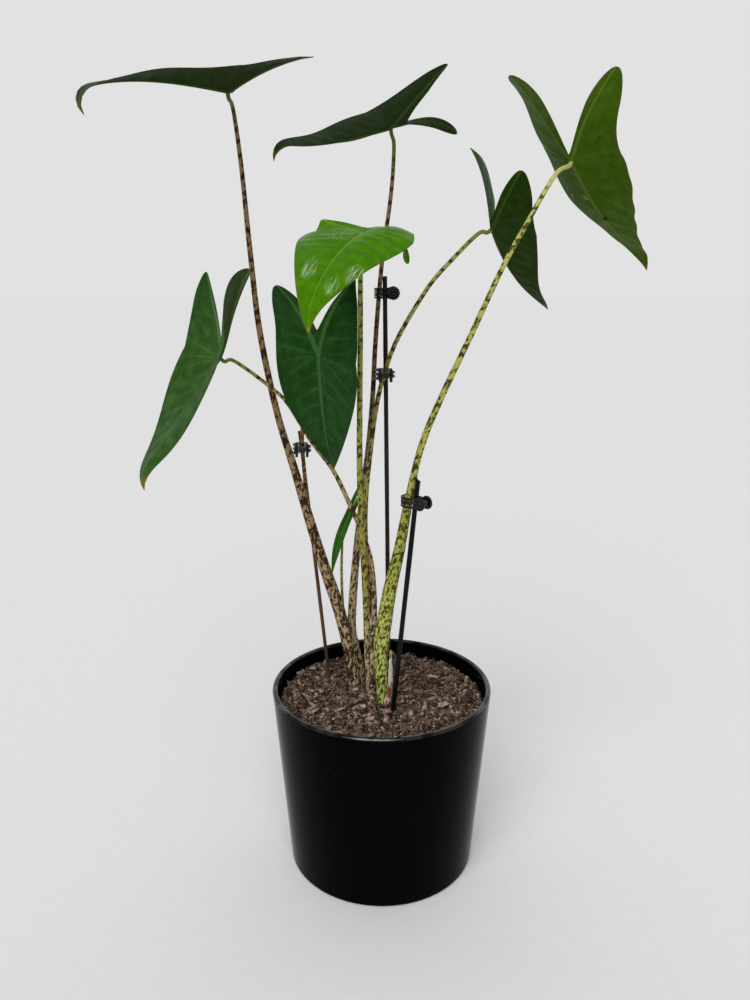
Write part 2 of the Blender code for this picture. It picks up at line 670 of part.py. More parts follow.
def make_stem(name, collection, finish, cutters):
    """A stem whose top is cut to sit under its blade, and the hole for its foot in the soil."""
    points = stem_points(name)
    radii = stem_radii(name, points)
    x, y = STEMS[name]["foot"]
    hole = [(x, y, corm_top(x, y, 0.0) - 1.0), (x, y, SOIL_TOP + HOLE_ABOVE)]
    hole_radius = radii[-1] * SIDES_ROOM + HOLE_CLEARANCE
    as_cutter(tube("hole_for_stem_" + name, hole, [hole_radius] * 2, cutters, None, HOLE_SIDES))
    stem = tube("stem_" + name, points, radii, collection, finish)
    seat = make_blade("seat_for_stem_" + name, LEAVES[name], collection, None, 2 * GAP)
    join_or_cut(stem, seat, "DIFFERENCE")
    return stem


def make_stake(name, collection, finish, cutters):
    top, foot, radius = STAKES[name]
    line = np.array([top, foot])
    slope = (line[1] - line[0]) / np.linalg.norm(line[1] - line[0])
    above = line[1] - slope * (line[1][2] - SOIL_TOP - HOLE_ABOVE) / slope[2]
    hole = [above, line[1] + slope * GAP]
    hole_radius = radius * SIDES_ROOM + HOLE_CLEARANCE
    as_cutter(tube("hole_for_" + name, hole, [hole_radius] * 2, cutters, None, HOLE_SIDES))
    return tube(name, line, [radius, radius], collection, finish, STAKE_SIDES)


def make_sheath(collection, finish):
    """A dried leaf base: a thin curved husk hugging the right side of the widest stem."""
    points = stem_points("upper_right")
    radii = stem_radii("upper_right", points)
    order = np.argsort(points[:, 2])
    low, high = SOIL_TOP - SHEATH_BURIED, SOIL_TOP + SHEATH_RISE

    def build(bm):
        grid = []
        for i in range(SHEATH_ROWS + 1):
            share = i / SHEATH_ROWS
            height = low + (high - low) * share
            x, y = point_at_height(points, height)[:2]
            radius = np.interp(height, points[order, 2], radii[order]) + SHEATH_STANDS_OFF
            radius += SHEATH_BULGE * math.sin(math.pi * share)
            spread = SHEATH_SPREAD * (1 - share) ** 0.6 + SHEATH_TIP_SPREAD
            row = []
            for j in range(SHEATH_COLUMNS + 1):
                across = 2 * j / SHEATH_COLUMNS - 1
                angle = math.radians(SHEATH_FACING + spread * across)
                flare = radius + SHEATH_FLARE * abs(across) * share
                place_at = (x + flare * math.cos(angle), y + flare * math.sin(angle), height)
                row.append(bm.verts.new(np.array(place_at) * MM))
            grid.append(row)
        for lower, upper in zip(grid, grid[1:]):
            for j in range(SHEATH_COLUMNS):
                bm.faces.new((lower[j], lower[j + 1], upper[j + 1], upper[j]))
        bmesh.ops.triangulate(bm, faces=bm.faces)

    obj = place("dried_sheath", mesh_from("dried_sheath", build), collection, finish)
    solid = obj.modifiers.new("Solidify", "SOLIDIFY")
    solid.thickness = SHEATH_THICKNESS * MM
    solid.offset = 0.0
    return obj


def make_sheath_hole(cutters):
    x, y = point_at_height(stem_points("upper_right"), SOIL_TOP)[:2]
    bottom = SOIL_TOP - SHEATH_BURIED - GAP
    hole = [(x, y, bottom), (x, y, SOIL_TOP + HOLE_ABOVE)]
    radius = STEMS["upper_right"]["radii"][2] + SHEATH_STANDS_OFF + SHEATH_HOLE_ROOM
    as_cutter(tube("hole_for_dried_sheath", hole, [radius] * 2, cutters, None, HOLE_SIDES))


def cut_soil(soil, cutters):
    sizes = [size + GAP for size in CORM_HALF_SIZES]
    as_cutter(ellipsoid("room_for_corm", CORM_CENTRE, sizes, CORM_TURN, cutters, None))
    for cutter in cutters.objects:
        cut = soil.modifiers.new(cutter.name, "BOOLEAN")
        cut.operation = "DIFFERENCE"
        cut.object = cutter


def fluted_disc(bm, middle, out_axis, up_axis, side_axis):
    """A grip: a short fluted cylinder with a raised button on its outer face."""
    face = DISC_THICKNESS / 2
    rings = (
        (-face, DISC_RADIUS, True), (face, DISC_RADIUS, True),
        (face, BUTTON_RADIUS, False), (face + BUTTON_RISE, BUTTON_TOP_RADIUS, False),
    )
    loops = []
    for offset, radius, fluted in rings:
        loop = []
        for k in range(2 * DISC_FLUTES):
            angle = math.pi * k / DISC_FLUTES
            r = radius - FLUTE_DEPTH * (k % 2) if fluted else radius
            spot = middle + out_axis * offset
            spot = spot + (up_axis * math.sin(angle) + side_axis * math.cos(angle)) * r
            loop.append(bm.verts.new(spot * MM))
        loops.append(loop)
    bm.faces.new(list(reversed(loops[0])))
    bm.faces.new(loops[-1])
    for low, high in zip(loops, loops[1:]):
        for k in range(len(low)):
            after = (k + 1) % len(low)
            bm.faces.new((low[k], low[after], high[after], high[k]))
    bmesh.ops.triangulate(bm, faces=bm.faces)
    bmesh.ops.recalc_face_normals(bm, faces=bm.faces)


def make_jaw(name, hold, side, collection, finish):
    """A grip disc and the tines that run from inside it round the stem and the stake."""
    middle, reach, toward = hold["middle"], hold["reach"], hold["toward"]
    up = np.array([0.0, 0.0, 1.0])
    out = np.cross(up, toward) * side
    disc_middle = middle - toward * (reach + DISC_STANDS_OFF) + out * JAW_SPREAD
    disc = mesh_from(name, lambda bm: fluted_disc(bm, disc_middle, out, up, toward))
    jaw = place(name, disc, collection, finish)
    lifts = (-TINE_SPACING, 0.0, TINE_SPACING) if side > 0 else (-TINE_SPACING / 2, TINE_SPACING / 2)
    for count, lift in enumerate(lifts):
        path = [disc_middle + toward * TINE_ROOT + up * lift]
        for k in range(TINE_STEPS + 1):
            angle = math.radians(TINE_START + (TINE_END - TINE_START) * k / TINE_STEPS)
            path.append(middle + (toward * math.cos(angle) + out * math.sin(angle)) * reach + up * lift)
        radii = [TINE_RADIUS] * (TINE_STEPS + 1) + [TINE_END_RADIUS]
        tine = tube(f"{name}_tine_{count}", path, radii, collection, finish, 0)
        join_or_cut(jaw, tine, "UNION")
    return jaw


def make_clip(name, collection, finish):
    """Two fluted jaws and the spring between them, closed round one stem and one stake."""
    stem, stake, height, grip_side = CLIPS[name]
    points = stem_points(stem)
    stem_at = point_at_height(points, height)
    order = np.argsort(points[:, 2])
    stem_radius = np.interp(height, points[order, 2], stem_radii(stem, points)[order])
    top, foot, stake_radius = STAKES[stake]
    stake_at = point_at_height(np.array([foot, top]), height)
    middle = (stem_at + stake_at) / 2
    half_span = np.linalg.norm(stem_at - stake_at) / 2
    reach = half_span + max(stem_radius, stake_radius) + TINE_RADIUS + 2 * GAP
    angle = math.radians(grip_side)
    toward = -np.array([math.cos(angle), math.sin(angle), 0.0])
    hold = {"middle": middle, "reach": reach, "toward": toward}
    make_jaw(name + "_front_jaw", hold, 1.0, collection, finish)
    make_jaw(name + "_back_jaw", hold, -1.0, collection, finish)
    inner = JAW_SPREAD - DISC_THICKNESS / 2 - GAP
    spring_middle = middle - toward * (reach + DISC_STANDS_OFF)
    coils = [(0.0, inner), (SPRING_CORE, inner)]
    for turn in range(SPRING_TURNS):
        level = inner * (1 - (2 * turn + 1) / SPRING_TURNS)
        coils += [(SPRING_RADIUS, level + SPRING_WIRE / 2), (SPRING_RADIUS, level - SPRING_WIRE / 2)]
        coils.append((SPRING_CORE, level - inner / SPRING_TURNS))
    spring = turned(name + "_spring", [*coils, (0.0, -inner)], collection, finish, 8)
    spring.location = Vector(spring_middle) * MM
    across = Vector(np.cross((0.0, 0.0, 1.0), toward))
    spring.rotation_euler = across.to_track_quat("Z", "Y").to_euler()


def build_plant():
    clear_scene()
    parts = new_collection("potted_zebra_alocasia")
    cutters = new_collection("cutters")
    leaf_dark = material("dark_leaf", (0.03, 0.12, 0.035), 0.42)
    leaf_young = material("young_leaf", (0.15, 0.42, 0.02), 0.28)
    leaf_new = material("new_leaf", (0.08, 0.22, 0.03), 0.4)
    stem_brown = material("brown_banded_stem", (0.34, 0.25, 0.13), 0.5)
    stem_green = material("green_banded_stem", (0.42, 0.42, 0.12), 0.45)
    husk = material("dried_husk", (0.68, 0.5, 0.42), 0.7)
    black_glaze = material("black_glaze", (0.008, 0.008, 0.009), 0.08)
    bark_mix = material("bark_mix", (0.06, 0.038, 0.026), 0.95)
    corm_brown = material("corm", (0.3, 0.2, 0.12), 0.8)
    black_plastic = material("black_plastic", (0.015, 0.014, 0.014), 0.4)
    brown_stake = material("brown_stake", (0.11, 0.06, 0.04), 0.6)

    make_pot(parts, black_glaze)
    soil = make_soil(parts, bark_mix)
    ellipsoid("corm", CORM_CENTRE, CORM_HALF_SIZES, CORM_TURN, parts, corm_brown)
    blade_finish = {"young": leaf_young, "new": leaf_new}
    stem_finish = {"young": stem_green, "right": stem_green, "upper_right": stem_green, "new": stem_green}
    for name, leaf in LEAVES.items():
        make_blade("blade_" + name, leaf, parts, blade_finish.get(name, leaf_dark))
        make_stem(name, parts, stem_finish.get(name, stem_brown), cutters)
    make_sheath(parts, husk)
    make_sheath_hole(cutters)
    for name in STAKES:
        make_stake(name, parts, brown_stake if name == "stake_left" else black_plastic, cutters)
    for name in CLIPS:
        make_clip(name, parts, black_plastic)
    cut_soil(soil, cutters)


build_plant()
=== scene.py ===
# A zebra alocasia in a glossy black pot: eight arrow-shaped leaves on banded stems, held to three stakes
# by four claw clips. Sizes are in millimetres and degrees unless a comment says otherwise; Z is up.
import math

import bmesh
import bpy
import numpy as np
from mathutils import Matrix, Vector


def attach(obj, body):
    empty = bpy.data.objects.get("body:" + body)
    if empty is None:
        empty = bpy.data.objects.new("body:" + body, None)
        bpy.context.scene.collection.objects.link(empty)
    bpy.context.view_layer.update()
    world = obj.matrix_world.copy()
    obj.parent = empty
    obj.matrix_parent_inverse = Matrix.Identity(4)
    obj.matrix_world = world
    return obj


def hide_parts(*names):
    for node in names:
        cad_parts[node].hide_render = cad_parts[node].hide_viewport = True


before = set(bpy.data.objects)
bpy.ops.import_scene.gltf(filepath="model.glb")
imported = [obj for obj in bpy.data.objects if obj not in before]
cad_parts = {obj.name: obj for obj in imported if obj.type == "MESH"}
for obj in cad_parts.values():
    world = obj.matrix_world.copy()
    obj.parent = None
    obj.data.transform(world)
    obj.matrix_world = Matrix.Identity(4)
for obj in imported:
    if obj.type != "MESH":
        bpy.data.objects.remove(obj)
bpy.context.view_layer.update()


# Camera: it stands a little above the plant's middle and looks down on the soil, as the plant was
# photographed: portrait, 1000 units high, with the pot low in the picture.
CAMERA_PLACE = (-0.0058, -0.6686, 0.5035)       # in metres
CAMERA_PITCH = 14.62
FRAME_HEIGHT = 1000.0
FOCAL_LENGTH = 835.4        # in the same units as the frame's height
SENSOR = 36.0
CLIP_START = 0.01           # in metres

view = bpy.data.cameras.new("plant_view")
view.sensor_fit = "VERTICAL"
view.sensor_height = SENSOR
view.lens = SENSOR * FOCAL_LENGTH / FRAME_HEIGHT
view.clip_start = CLIP_START
camera = bpy.data.objects.new("plant_view", view)
camera.location = CAMERA_PLACE
camera.rotation_euler = (math.radians(90 - CAMERA_PITCH), 0, 0)
bpy.context.scene.collection.objects.link(camera)
bpy.context.scene.camera = camera
bpy.context.scene.view_settings.view_transform = "Standard"


# Floor and light: a plain pale matt floor that runs out to a backdrop of the same tone, dimmer in front
# of the plant than behind it, and one broad soft key from above in front.
MM = 0.001                  # the scene itself is in metres
FLOOR_SIZE = 60.0           # in metres
FLOOR_TONE = (0.84, 0.84, 0.843)
FLOOR_MOTTLE = 0.985        # tone of the floor's grain, as a share of its own
BACK_TONE = (0.76, 0.76, 0.763)
FRONT_TONE = (0.3, 0.3, 0.302)
BACK_FROM = (0.28, 0.36)    # the dim front turns into the pale back where a ray's Y is between these
KEY_PLACE = (-0.4, -2.0, 2.4)                   # in metres
KEY_AIM = (0, 0, 0.3)                           # in metres
KEY_STRENGTH = 2.0
KEY_SPREAD = 50


def socket_of(target, value):
    """Joins a node's output to a socket, or writes a plain value on it."""
    if isinstance(value, bpy.types.NodeSocket):
        target.id_data.links.new(value, target)
    elif value is not None:
        target.default_value = value


class Finish:
    """A surface finish under construction: one shader, and the nodes that colour and roughen it."""

    def __init__(self, name, colour=(0.5, 0.5, 0.5), roughness=0.5, **settings):
        self.material = bpy.data.materials.new(name)
        self.material.use_nodes = True
        self.tree = self.material.node_tree
        self.shader = self.tree.nodes["Principled BSDF"]
        self.shader.inputs["Base Color"].default_value = (*colour, 1)
        self.shader.inputs["Roughness"].default_value = roughness
        for key, value in settings.items():
            self.shader.inputs[key.replace("_", " ")].default_value = value

    def add(self, kind, out=0, settings=(), **inputs):
        made = self.tree.nodes.new("ShaderNode" + kind)
        for key, value in dict(settings).items():
            setattr(made, key, value)
        for key, value in inputs.items():
            socket_of(made.inputs[key.replace("_", " ")], value)
        return made.outputs[out]

    def place(self):
        return self.add("TexCoord", "Object")

    def grown(self, name, out="Fac"):
        """A value that the mesh carries at its points."""
        return self.add("Attribute", out, {"attribute_name": name})

    def parts(self, vector):
        """The x, y and z of a vector."""
        made = self.tree.nodes.new("ShaderNodeSeparateXYZ")
        socket_of(made.inputs[0], vector)
        return made.outputs

    def bent(self, where, scale, amount):
        """A place pushed about by a slow noise."""
        made = self.tree.nodes.new("ShaderNodeVectorMath")
        made.operation = "MULTIPLY_ADD"
        socket_of(made.inputs[0], self.add("TexNoise", "Color", Vector=where, Scale=scale, Detail=2.0))
        made.inputs[1].default_value = amount
        socket_of(made.inputs[2], where)
        return made.outputs[0]

    def noise(self, where, scale, detail=2.0, distortion=0.0, roughness=0.5):
        if not isinstance(scale, (int, float)):
            where = self.add("Mapping", Vector=where, Scale=scale)
            scale = 1.0
        return self.add("TexNoise", Vector=where, Scale=scale, Detail=detail, Distortion=distortion,
                        Roughness=roughness)

    def math(self, kind, a, b=None, c=None):
        made = self.tree.nodes.new("ShaderNodeMath")
        made.operation = kind
        for at, value in enumerate((a, b, c)):
            socket_of(made.inputs[at], value)
        return made.outputs[0]

    def plus(self, a, b):
        return self.math("ADD", a, b)

    def minus(self, a, b):
        return self.math("SUBTRACT", a, b)

    def times(self, a, b):
        return self.math("MULTIPLY", a, b)

    def squares(self, a, b):
        """The sum of two squares."""
        return self.plus(self.times(a, a), self.times(b, b))

    def centred(self, value, amount):
        """A noise moved down to swing about nought, and scaled."""
        return self.times(self.minus(value, 0.5), amount)

    def ease(self, value, low, high, start=0.0, end=1.0):
        """A soft step from start to end as a value goes from low to high."""
        return self.add("MapRange", 0, {"interpolation_type": "SMOOTHSTEP"}, Value=value,
                        From_Min=low, From_Max=high, To_Min=start, To_Max=end)

    def mix(self, share, first, second):
        made = self.tree.nodes.new("ShaderNodeMix")
        made.data_type = "RGBA"
        made.clamp_factor = True
        for at, value in ((0, share), (6, first), (7, second)):
            if isinstance(value, tuple):
                value = (*value, 1)
            socket_of(made.inputs[at], value)
        return made.outputs[2]

    def colour(self, value):
        socket_of(self.shader.inputs["Base Color"], value)

    def gloss(self, value):
        socket_of(self.shader.inputs["Roughness"], value)

    def relief(self, *layers):
        """Bumps laid over each other, each a (height, depth in mm, strength)."""
        normal = None
        for height, depth, strength in layers:
            inputs = {"Height": height, "Distance": depth * MM, "Strength": strength}
            if normal:
                inputs["Normal"] = normal
            normal = self.add("Bump", **inputs)
        socket_of(self.shader.inputs["Normal"], normal)


def grained(name, base, roughness, scale, detail, tones, low, depth, strength, **settings):
    """A plain finish with one grain that mottles it in two tones and roughens it."""
    made = Finish(name, base, roughness, **settings)
    grain = made.noise(made.place(), scale, detail)
    made.colour(made.mix(made.ease(grain, low, 0.7), *tones))
    made.relief((grain, depth, strength))
    return made


floor_tones = (FLOOR_TONE, tuple(c * FLOOR_MOTTLE for c in FLOOR_TONE))
floor_finish = grained("pale_floor", FLOOR_TONE, 0.9, scale=90.0, detail=3.0, tones=floor_tones,
                       low=0.3, depth=0.2, strength=0.1, Specular_IOR_Level=0.1)
half_floor = FLOOR_SIZE / 2
floor_corners = [(x * half_floor, y * half_floor, 0) for x, y in ((-1, -1), (1, -1), (1, 1), (-1, 1))]
floor_mesh = bpy.data.meshes.new("floor")
floor_mesh.from_pydata(floor_corners, [], [(0, 1, 2, 3)])
floor = bpy.data.objects.new("floor", floor_mesh)
floor_mesh.materials.append(floor_finish.material)
bpy.context.scene.collection.objects.link(floor)

sky = bpy.data.worlds.new("pale_studio")
sky.use_nodes = True
direction = sky.node_tree.nodes.new("ShaderNodeTexCoord")
split = sky.node_tree.nodes.new("ShaderNodeSeparateXYZ")
socket_of(split.inputs[0], direction.outputs["Generated"])
behind = sky.node_tree.nodes.new("ShaderNodeMapRange")
behind.interpolation_type = "SMOOTHSTEP"
socket_of(behind.inputs["Value"], split.outputs["Y"])
behind.inputs["From Min"].default_value = BACK_FROM[0]
behind.inputs["From Max"].default_value = BACK_FROM[1]
tones = sky.node_tree.nodes.new("ShaderNodeMix")
tones.data_type = "RGBA"
socket_of(tones.inputs[0], behind.outputs[0])
socket_of(tones.inputs[6], (*FRONT_TONE, 1))
socket_of(tones.inputs[7], (*BACK_TONE, 1))
backdrop = sky.node_tree.nodes["Background"]
socket_of(backdrop.inputs["Color"], tones.outputs[2])
backdrop.inputs["Strength"].default_value = 1.0
bpy.context.scene.world = sky

key = bpy.data.lights.new("key", "SUN")
key.energy = KEY_STRENGTH
key.angle = math.radians(KEY_SPREAD)
key_holder = bpy.data.objects.new("key", key)
key_holder.location = KEY_PLACE
key_holder.rotation_euler = (Vector(KEY_AIM) - key_holder.location).to_track_quat("-Z", "Y").to_euler()
bpy.context.scene.collection.objects.link(key_holder)


# Pot: one turned piece of glazed stoneware, slightly wider at the rim, with a rounded lip and a softened
# foot. The glaze is black and mirror-smooth, with faint orange-peel, a few pin-holes and a little dust.
POT_HEIGHT = 164.0
POT_BASE_RADIUS = 82.0
POT_RIM_RADIUS = 95.0
POT_WALL = 5.0
POT_FLOOR = 8.0
LIP_RADIUS = 2.4
LIP_LIGHT = (2.6, 1.0)      # how far below the rim its light line starts, and where it is full
FOOT_RADIUS = 3.0
POT_STEPS = 192
GLAZE_BLACK = (0.0008, 0.0008, 0.0009)
GLAZE_DUST = (0.16, 0.15, 0.14)
GLAZE_SHEEN = 0.025


def wall_radius(height):
    """Outer radius of the pot's tapering wall at a height."""
    return POT_BASE_RADIUS + (POT_RIM_RADIUS - POT_BASE_RADIUS) * height / POT_HEIGHT


def arc(centre, radius, start, end, count):
    """Points on an arc between two angles."""
    angles = np.radians(np.linspace(start, end, count + 1))
    return [(centre[0] + radius * math.cos(a), centre[1] + radius * math.sin(a)) for a in angles]


def straight(start, end, shares):
    """Points at shares of the way from start to end."""
    return [(start[0] + (end[0] - start[0]) * s, start[1] + (end[1] - start[1]) * s) for s in shares]


def stack_faces(rings, steps):
    """Faces over a stack of rings of points, closed by the point before the first and after the last."""
    faces = []
    last = 1 + (rings - 1) * steps
    for k in range(steps):
        after = (k + 1) % steps
        faces.append((0, 1 + k, 1 + after))
        for ring in range(rings - 1):
            low, high = 1 + ring * steps, 1 + (ring + 1) * steps
            faces.append((low + k, high + k, high + after, low + after))
        faces.append((last + k, last + steps, last + after))
    return faces


def piece(name, points, faces, finish, values=None, weld=0.0):
    """A smooth mesh piece from points in mm, fixed to the plant, with the values its finish reads."""
    mesh = bpy.data.meshes.new(name)
    mesh.from_pydata((np.asarray(points) * MM).tolist(), [], faces)
    for key, value in (values or {}).items():
        value = np.asarray(value, np.float32)
        kind = "FLOAT_VECTOR" if value.ndim == 2 else "FLOAT"
        mesh.attributes.new(key, kind, "POINT").data.foreach_set(
            "vector" if value.ndim == 2 else "value", value.ravel())
    if weld:
        bm = bmesh.new()
        bm.from_mesh(mesh)
        bmesh.ops.remove_doubles(bm, verts=bm.verts, dist=weld * MM)
        bmesh.ops.dissolve_degenerate(bm, edges=bm.edges, dist=weld * MM * 0.01)
        bmesh.ops.recalc_face_normals(bm, faces=bm.faces)
        bm.to_mesh(mesh)
        bm.free()
    mesh.shade_smooth()
    mesh.materials.append(finish.material)
    made = bpy.data.objects.new(name, mesh)
    bpy.context.scene.collection.objects.link(made)
    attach(made, "root")
    return made


def turned(name, profile, steps, finish):
    """A profile of (radius, height) turned about the Z axis; its ends lie on the axis."""
    points = [(0, 0, profile[0][1])]
    for radius, height in profile[1:-1]:
        for k in range(steps):
            angle = 2 * math.pi * k / steps
            points.append((radius * math.cos(angle), radius * math.sin(angle), height))
    points.append((0, 0, profile[-1][1]))
    return piece(name, points, stack_faces(len(profile) - 2, steps), finish)


glaze = Finish("black_glaze", GLAZE_BLACK, 0.04)
peel = glaze.noise(glaze.place(), 160.0, 2.0)
ripple = glaze.noise(glaze.place(), (14.0, 14.0, 5.0), 1.0)
specks = glaze.ease(glaze.noise(glaze.place(), 900.0, 1.0), 0.74, 0.8)
dust = glaze.times(specks, glaze.ease(glaze.noise(glaze.place(), 30.0, 2.0), 0.45, 0.65))
glaze.colour(glaze.mix(glaze.times(dust, 0.35), GLAZE_BLACK, GLAZE_DUST))
glaze.gloss(glaze.plus(glaze.ease(ripple, 0.3, 0.7, 0.025, 0.045), glaze.times(dust, 0.4)))
glaze.relief((ripple, 0.8, 0.2), (peel, 0.02, 0.15))
lip_from, lip_full = ((POT_HEIGHT - below) * MM for below in LIP_LIGHT)
lip_share = glaze.ease(glaze.parts(glaze.place())[2], lip_from, lip_full)
lip_chips = glaze.ease(glaze.noise(glaze.place(), 70.0, 2.0), 0.4, 0.6, 0.3, 1.0)
lip_sheen = glaze.math("MULTIPLY_ADD", lip_share, lip_chips, GLAZE_SHEEN)
socket_of(glaze.shader.inputs["Specular IOR Level"], lip_sheen)

inner = wall_radius(POT_FLOOR) - POT_WALL
inner_corner = (inner, POT_FLOOR + FOOT_RADIUS)
lip = arc((POT_RIM_RADIUS - LIP_RADIUS, POT_HEIGHT - LIP_RADIUS), LIP_RADIUS, start=150, end=0, count=14)
foot = arc((POT_BASE_RADIUS - FOOT_RADIUS, FOOT_RADIUS), FOOT_RADIUS, start=0, end=-90, count=8)
pot_profile = [(0, POT_FLOOR), (inner - FOOT_RADIUS, POT_FLOOR), inner_corner]
pot_profile += straight(inner_corner, lip[0], (0.3, 0.6, 0.9, 0.98))
pot_profile += lip
pot_profile += straight(lip[-1], foot[0], (0.02, 0.2, 0.4, 0.6, 0.8, 0.98))
pot_profile += [*foot, (0, 0)]
pot = turned("glazed_pot", pot_profile, POT_STEPS, glaze)
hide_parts("pot")


# Root stock: the corm that every stem grows from, a tough tapered rhizome under a brown fibrous skin. It
# lies buried in the mix, where no view shows it, so it keeps its solid and only gets its skin here.
corm_finish = grained("corm_skin", (0.2, 0.12, 0.07), 0.85, scale=(260.0, 260.0, 60.0), detail=4.0,
                      tones=((0.09, 0.05, 0.03), (0.32, 0.2, 0.12)), low=0.35, depth=1.0, strength=0.6)
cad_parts["corm"].data.materials.clear()
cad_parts["corm"].data.materials.append(corm_finish.material)


# Soil: a dark mix of fine bark and coir, pressed in by hand to 12 to 15 mm below the rim. A lumpy bed
# carries loose crumbs, bark chips and light fibres, and single bits that stand out near the stems: a tan
# clay bead, a brown stone, a pale chip, a light straw and a pale flake.
SOIL_TOP = 150.0
SOIL_MOUND = 3.0
SOIL_LUMP = 2.2
SOIL_ROUGHNESS = 0.28
SOIL_GAP = 0.5
SOIL_FLOOR_GAP = 0.3
SOIL_RINGS = 90
SOIL_SPOKES = 260
HEAP = 0.96                 # how high the mix is heaped against each stem
CRUMBS = 7600
BARK_CHIPS = 1000
FIBRES = 900
FIBRE_STEPS = 6
FIBRE_LIMIT = 87.0          # a fibre bends no further out than this radius
SCATTER_RADIUS = 88.5
CLEAR_OF_STEMS = 0.6
FOOTS = {                   # where each stem enters the mix, and its radius there
    "upper_left": (-25.0, 17.0, 5.4), "upper_middle": (-19.3, 25.0, 3.8), "young": (-10.0, -3.5, 3.9),
    "left": (-8.5, -12.6, 3.6), "front": (-27.0, 33.0, 3.4), "right": (-1.5, -1.0, 3.7),
    "upper_right": (0.3, -14.5, 5.3), "new": (-29.5, 25.8, 1.6),
}
pick = np.random.default_rng(41)


def soil_height(x, y):
    """Height of the mix: a low mound under crossed waves that never line up, and finer lumps."""
    x, y = np.asarray(x, float), np.asarray(y, float)
    wave = np.sin(0.31 * x + 1.7 * np.sin(0.13 * y)) + np.sin(0.37 * y + 1.9 * np.sin(0.17 * x + 0.8))
    wave = wave + 0.7 * np.sin(0.61 * x - 0.53 * y + 1.1)
    fine = np.sin(1.3 * x + 2.1 * np.sin(0.9 * y)) * np.sin(1.1 * y + 1.8 * np.sin(0.8 * x))
    share = np.minimum(1, np.hypot(x, y) / POT_RIM_RADIUS)
    heap = sum(HEAP * np.exp(-((np.hypot(x - a, y - b) - r) / 2.5) ** 2) for a, b, r in FOOTS.values())
    return SOIL_TOP + SOIL_MOUND * (1 - share**2) + SOIL_LUMP * wave / 2.7 + 0.45 * fine + heap


def soil_bed():
    """Points and faces of the bed: its lumpy top in rings, and its plain foot just above the floor."""
    top_radius = wall_radius(SOIL_TOP) - POT_WALL - SOIL_GAP
    low_radius = wall_radius(POT_FLOOR) - POT_WALL - FOOT_RADIUS - SOIL_GAP
    low_height = POT_FLOOR + SOIL_FLOOR_GAP
    angle = 2 * np.pi * np.arange(SOIL_SPOKES) / SOIL_SPOKES
    points = [(0, 0, float(soil_height(0, 0)))]
    for ring in range(1, SOIL_RINGS + 1):
        radius = top_radius * ring / SOIL_RINGS
        x, y = radius * np.cos(angle), radius * np.sin(angle)
        rough = pick.normal(0, SOIL_ROUGHNESS, SOIL_SPOKES) * (ring < SOIL_RINGS)
        points += list(zip(x, y, soil_height(x, y) + rough))
    points += [(low_radius * math.cos(a), low_radius * math.sin(a), low_height) for a in angle]
    points.append((0, 0, low_height))
    return points, stack_faces(SOIL_RINGS + 1, SOIL_SPOKES)


def scattered(count, reach=0.985):
    """Random places on the mix, clear of the stems."""
    places = []
    while len(places) < count:
        radius = SCATTER_RADIUS * reach * math.sqrt(pick.random())
        angle = 2 * math.pi * pick.random()
        x, y = radius * math.cos(angle), radius * math.sin(angle)
        if all(math.hypot(x - a, y - b) > r + CLEAR_OF_STEMS for a, b, r in FOOTS.values()):
            places.append((x, y))
    return places


def turn_matrix():
    """A random turn."""
    a = pick.normal(size=4)
    w, x, y, z = a / np.linalg.norm(a)
    return np.array([
        [1 - 2 * (y * y + z * z), 2 * (x * y - z * w), 2 * (x * z + y * w)],
        [2 * (x * y + z * w), 1 - 2 * (x * x + z * z), 2 * (y * z - x * w)],
        [2 * (x * z - y * w), 2 * (y * z + x * w), 1 - 2 * (x * x + y * y)],
    ])


def lump_shape(level):
    """Points and faces of a small rounded lump of radius 1."""
    bm = bmesh.new()
    bmesh.ops.create_icosphere(bm, subdivisions=level, radius=1)
    points = np.array([v.co for v in bm.verts])
    faces = [tuple(v.index for v in f.verts) for f in bm.faces]
    bm.free()
    return points, faces


def loose_bits(name, count, sizes, flatness, lift, finish, rugged, drawn_out=0.6):
    """Many loose bits in one mesh, each a jittered lump lying on the mix."""
    base, base_faces = lump_shape(1)
    points, faces, tone = [], [], []
    for x, y in scattered(count):
        size = sizes[0] + (sizes[1] - sizes[0]) * pick.random() ** 2.2
        long, wide = 1.0 + drawn_out * pick.random(), 0.35 + 0.4 * pick.random()
        high = flatness * (0.6 + 0.8 * pick.random())
        bit = base * (1 + pick.normal(0, rugged, (len(base), 1)))
        bit = (bit * np.array([long, wide, high]) * size) @ turn_matrix().T
        bit[:, 2] *= 0.75
        start = len(tone)
        points.append(bit + np.array([x, y, float(soil_height(x, y)) + lift * size]))
        faces += [tuple(start + i for i in face) for face in base_faces]
        tone += [pick.random()] * len(base)
    return piece(name, np.concatenate(points), faces, finish, {"tone": tone})


def soil_finish(name, dark, middle, light, light_share):
    """Damp dark crumbs with lighter dry grains; each loose bit has its own tone."""
    mix = Finish(name, middle, 0.92, Specular_IOR_Level=0.25)
    grains = mix.noise(mix.place(), 700.0, 4.0, 0.5, 0.65)
    patches = mix.noise(mix.place(), 90.0, 3.0)
    own = mix.grown("tone")
    body = mix.mix(mix.ease(grains, 0.32, 0.62), dark, middle)
    dry = mix.times(mix.ease(own, 1 - light_share, 1.0), mix.ease(grains, 0.3, 0.6))
    body = mix.mix(dry, body, light)
    body = mix.mix(mix.ease(patches, 0.35, 0.7, 0.0, 0.4), body, dark)
    body = mix.mix(mix.ease(own, 0.0, 0.42, 0.97, 0.0), body, tuple(0.12 * c for c in dark))
    mix.colour(body)
    mix.gloss(mix.ease(grains, 0.3, 0.7, 0.8, 1.0))
    mix.relief((grains, 0.8, 0.8))
    return mix


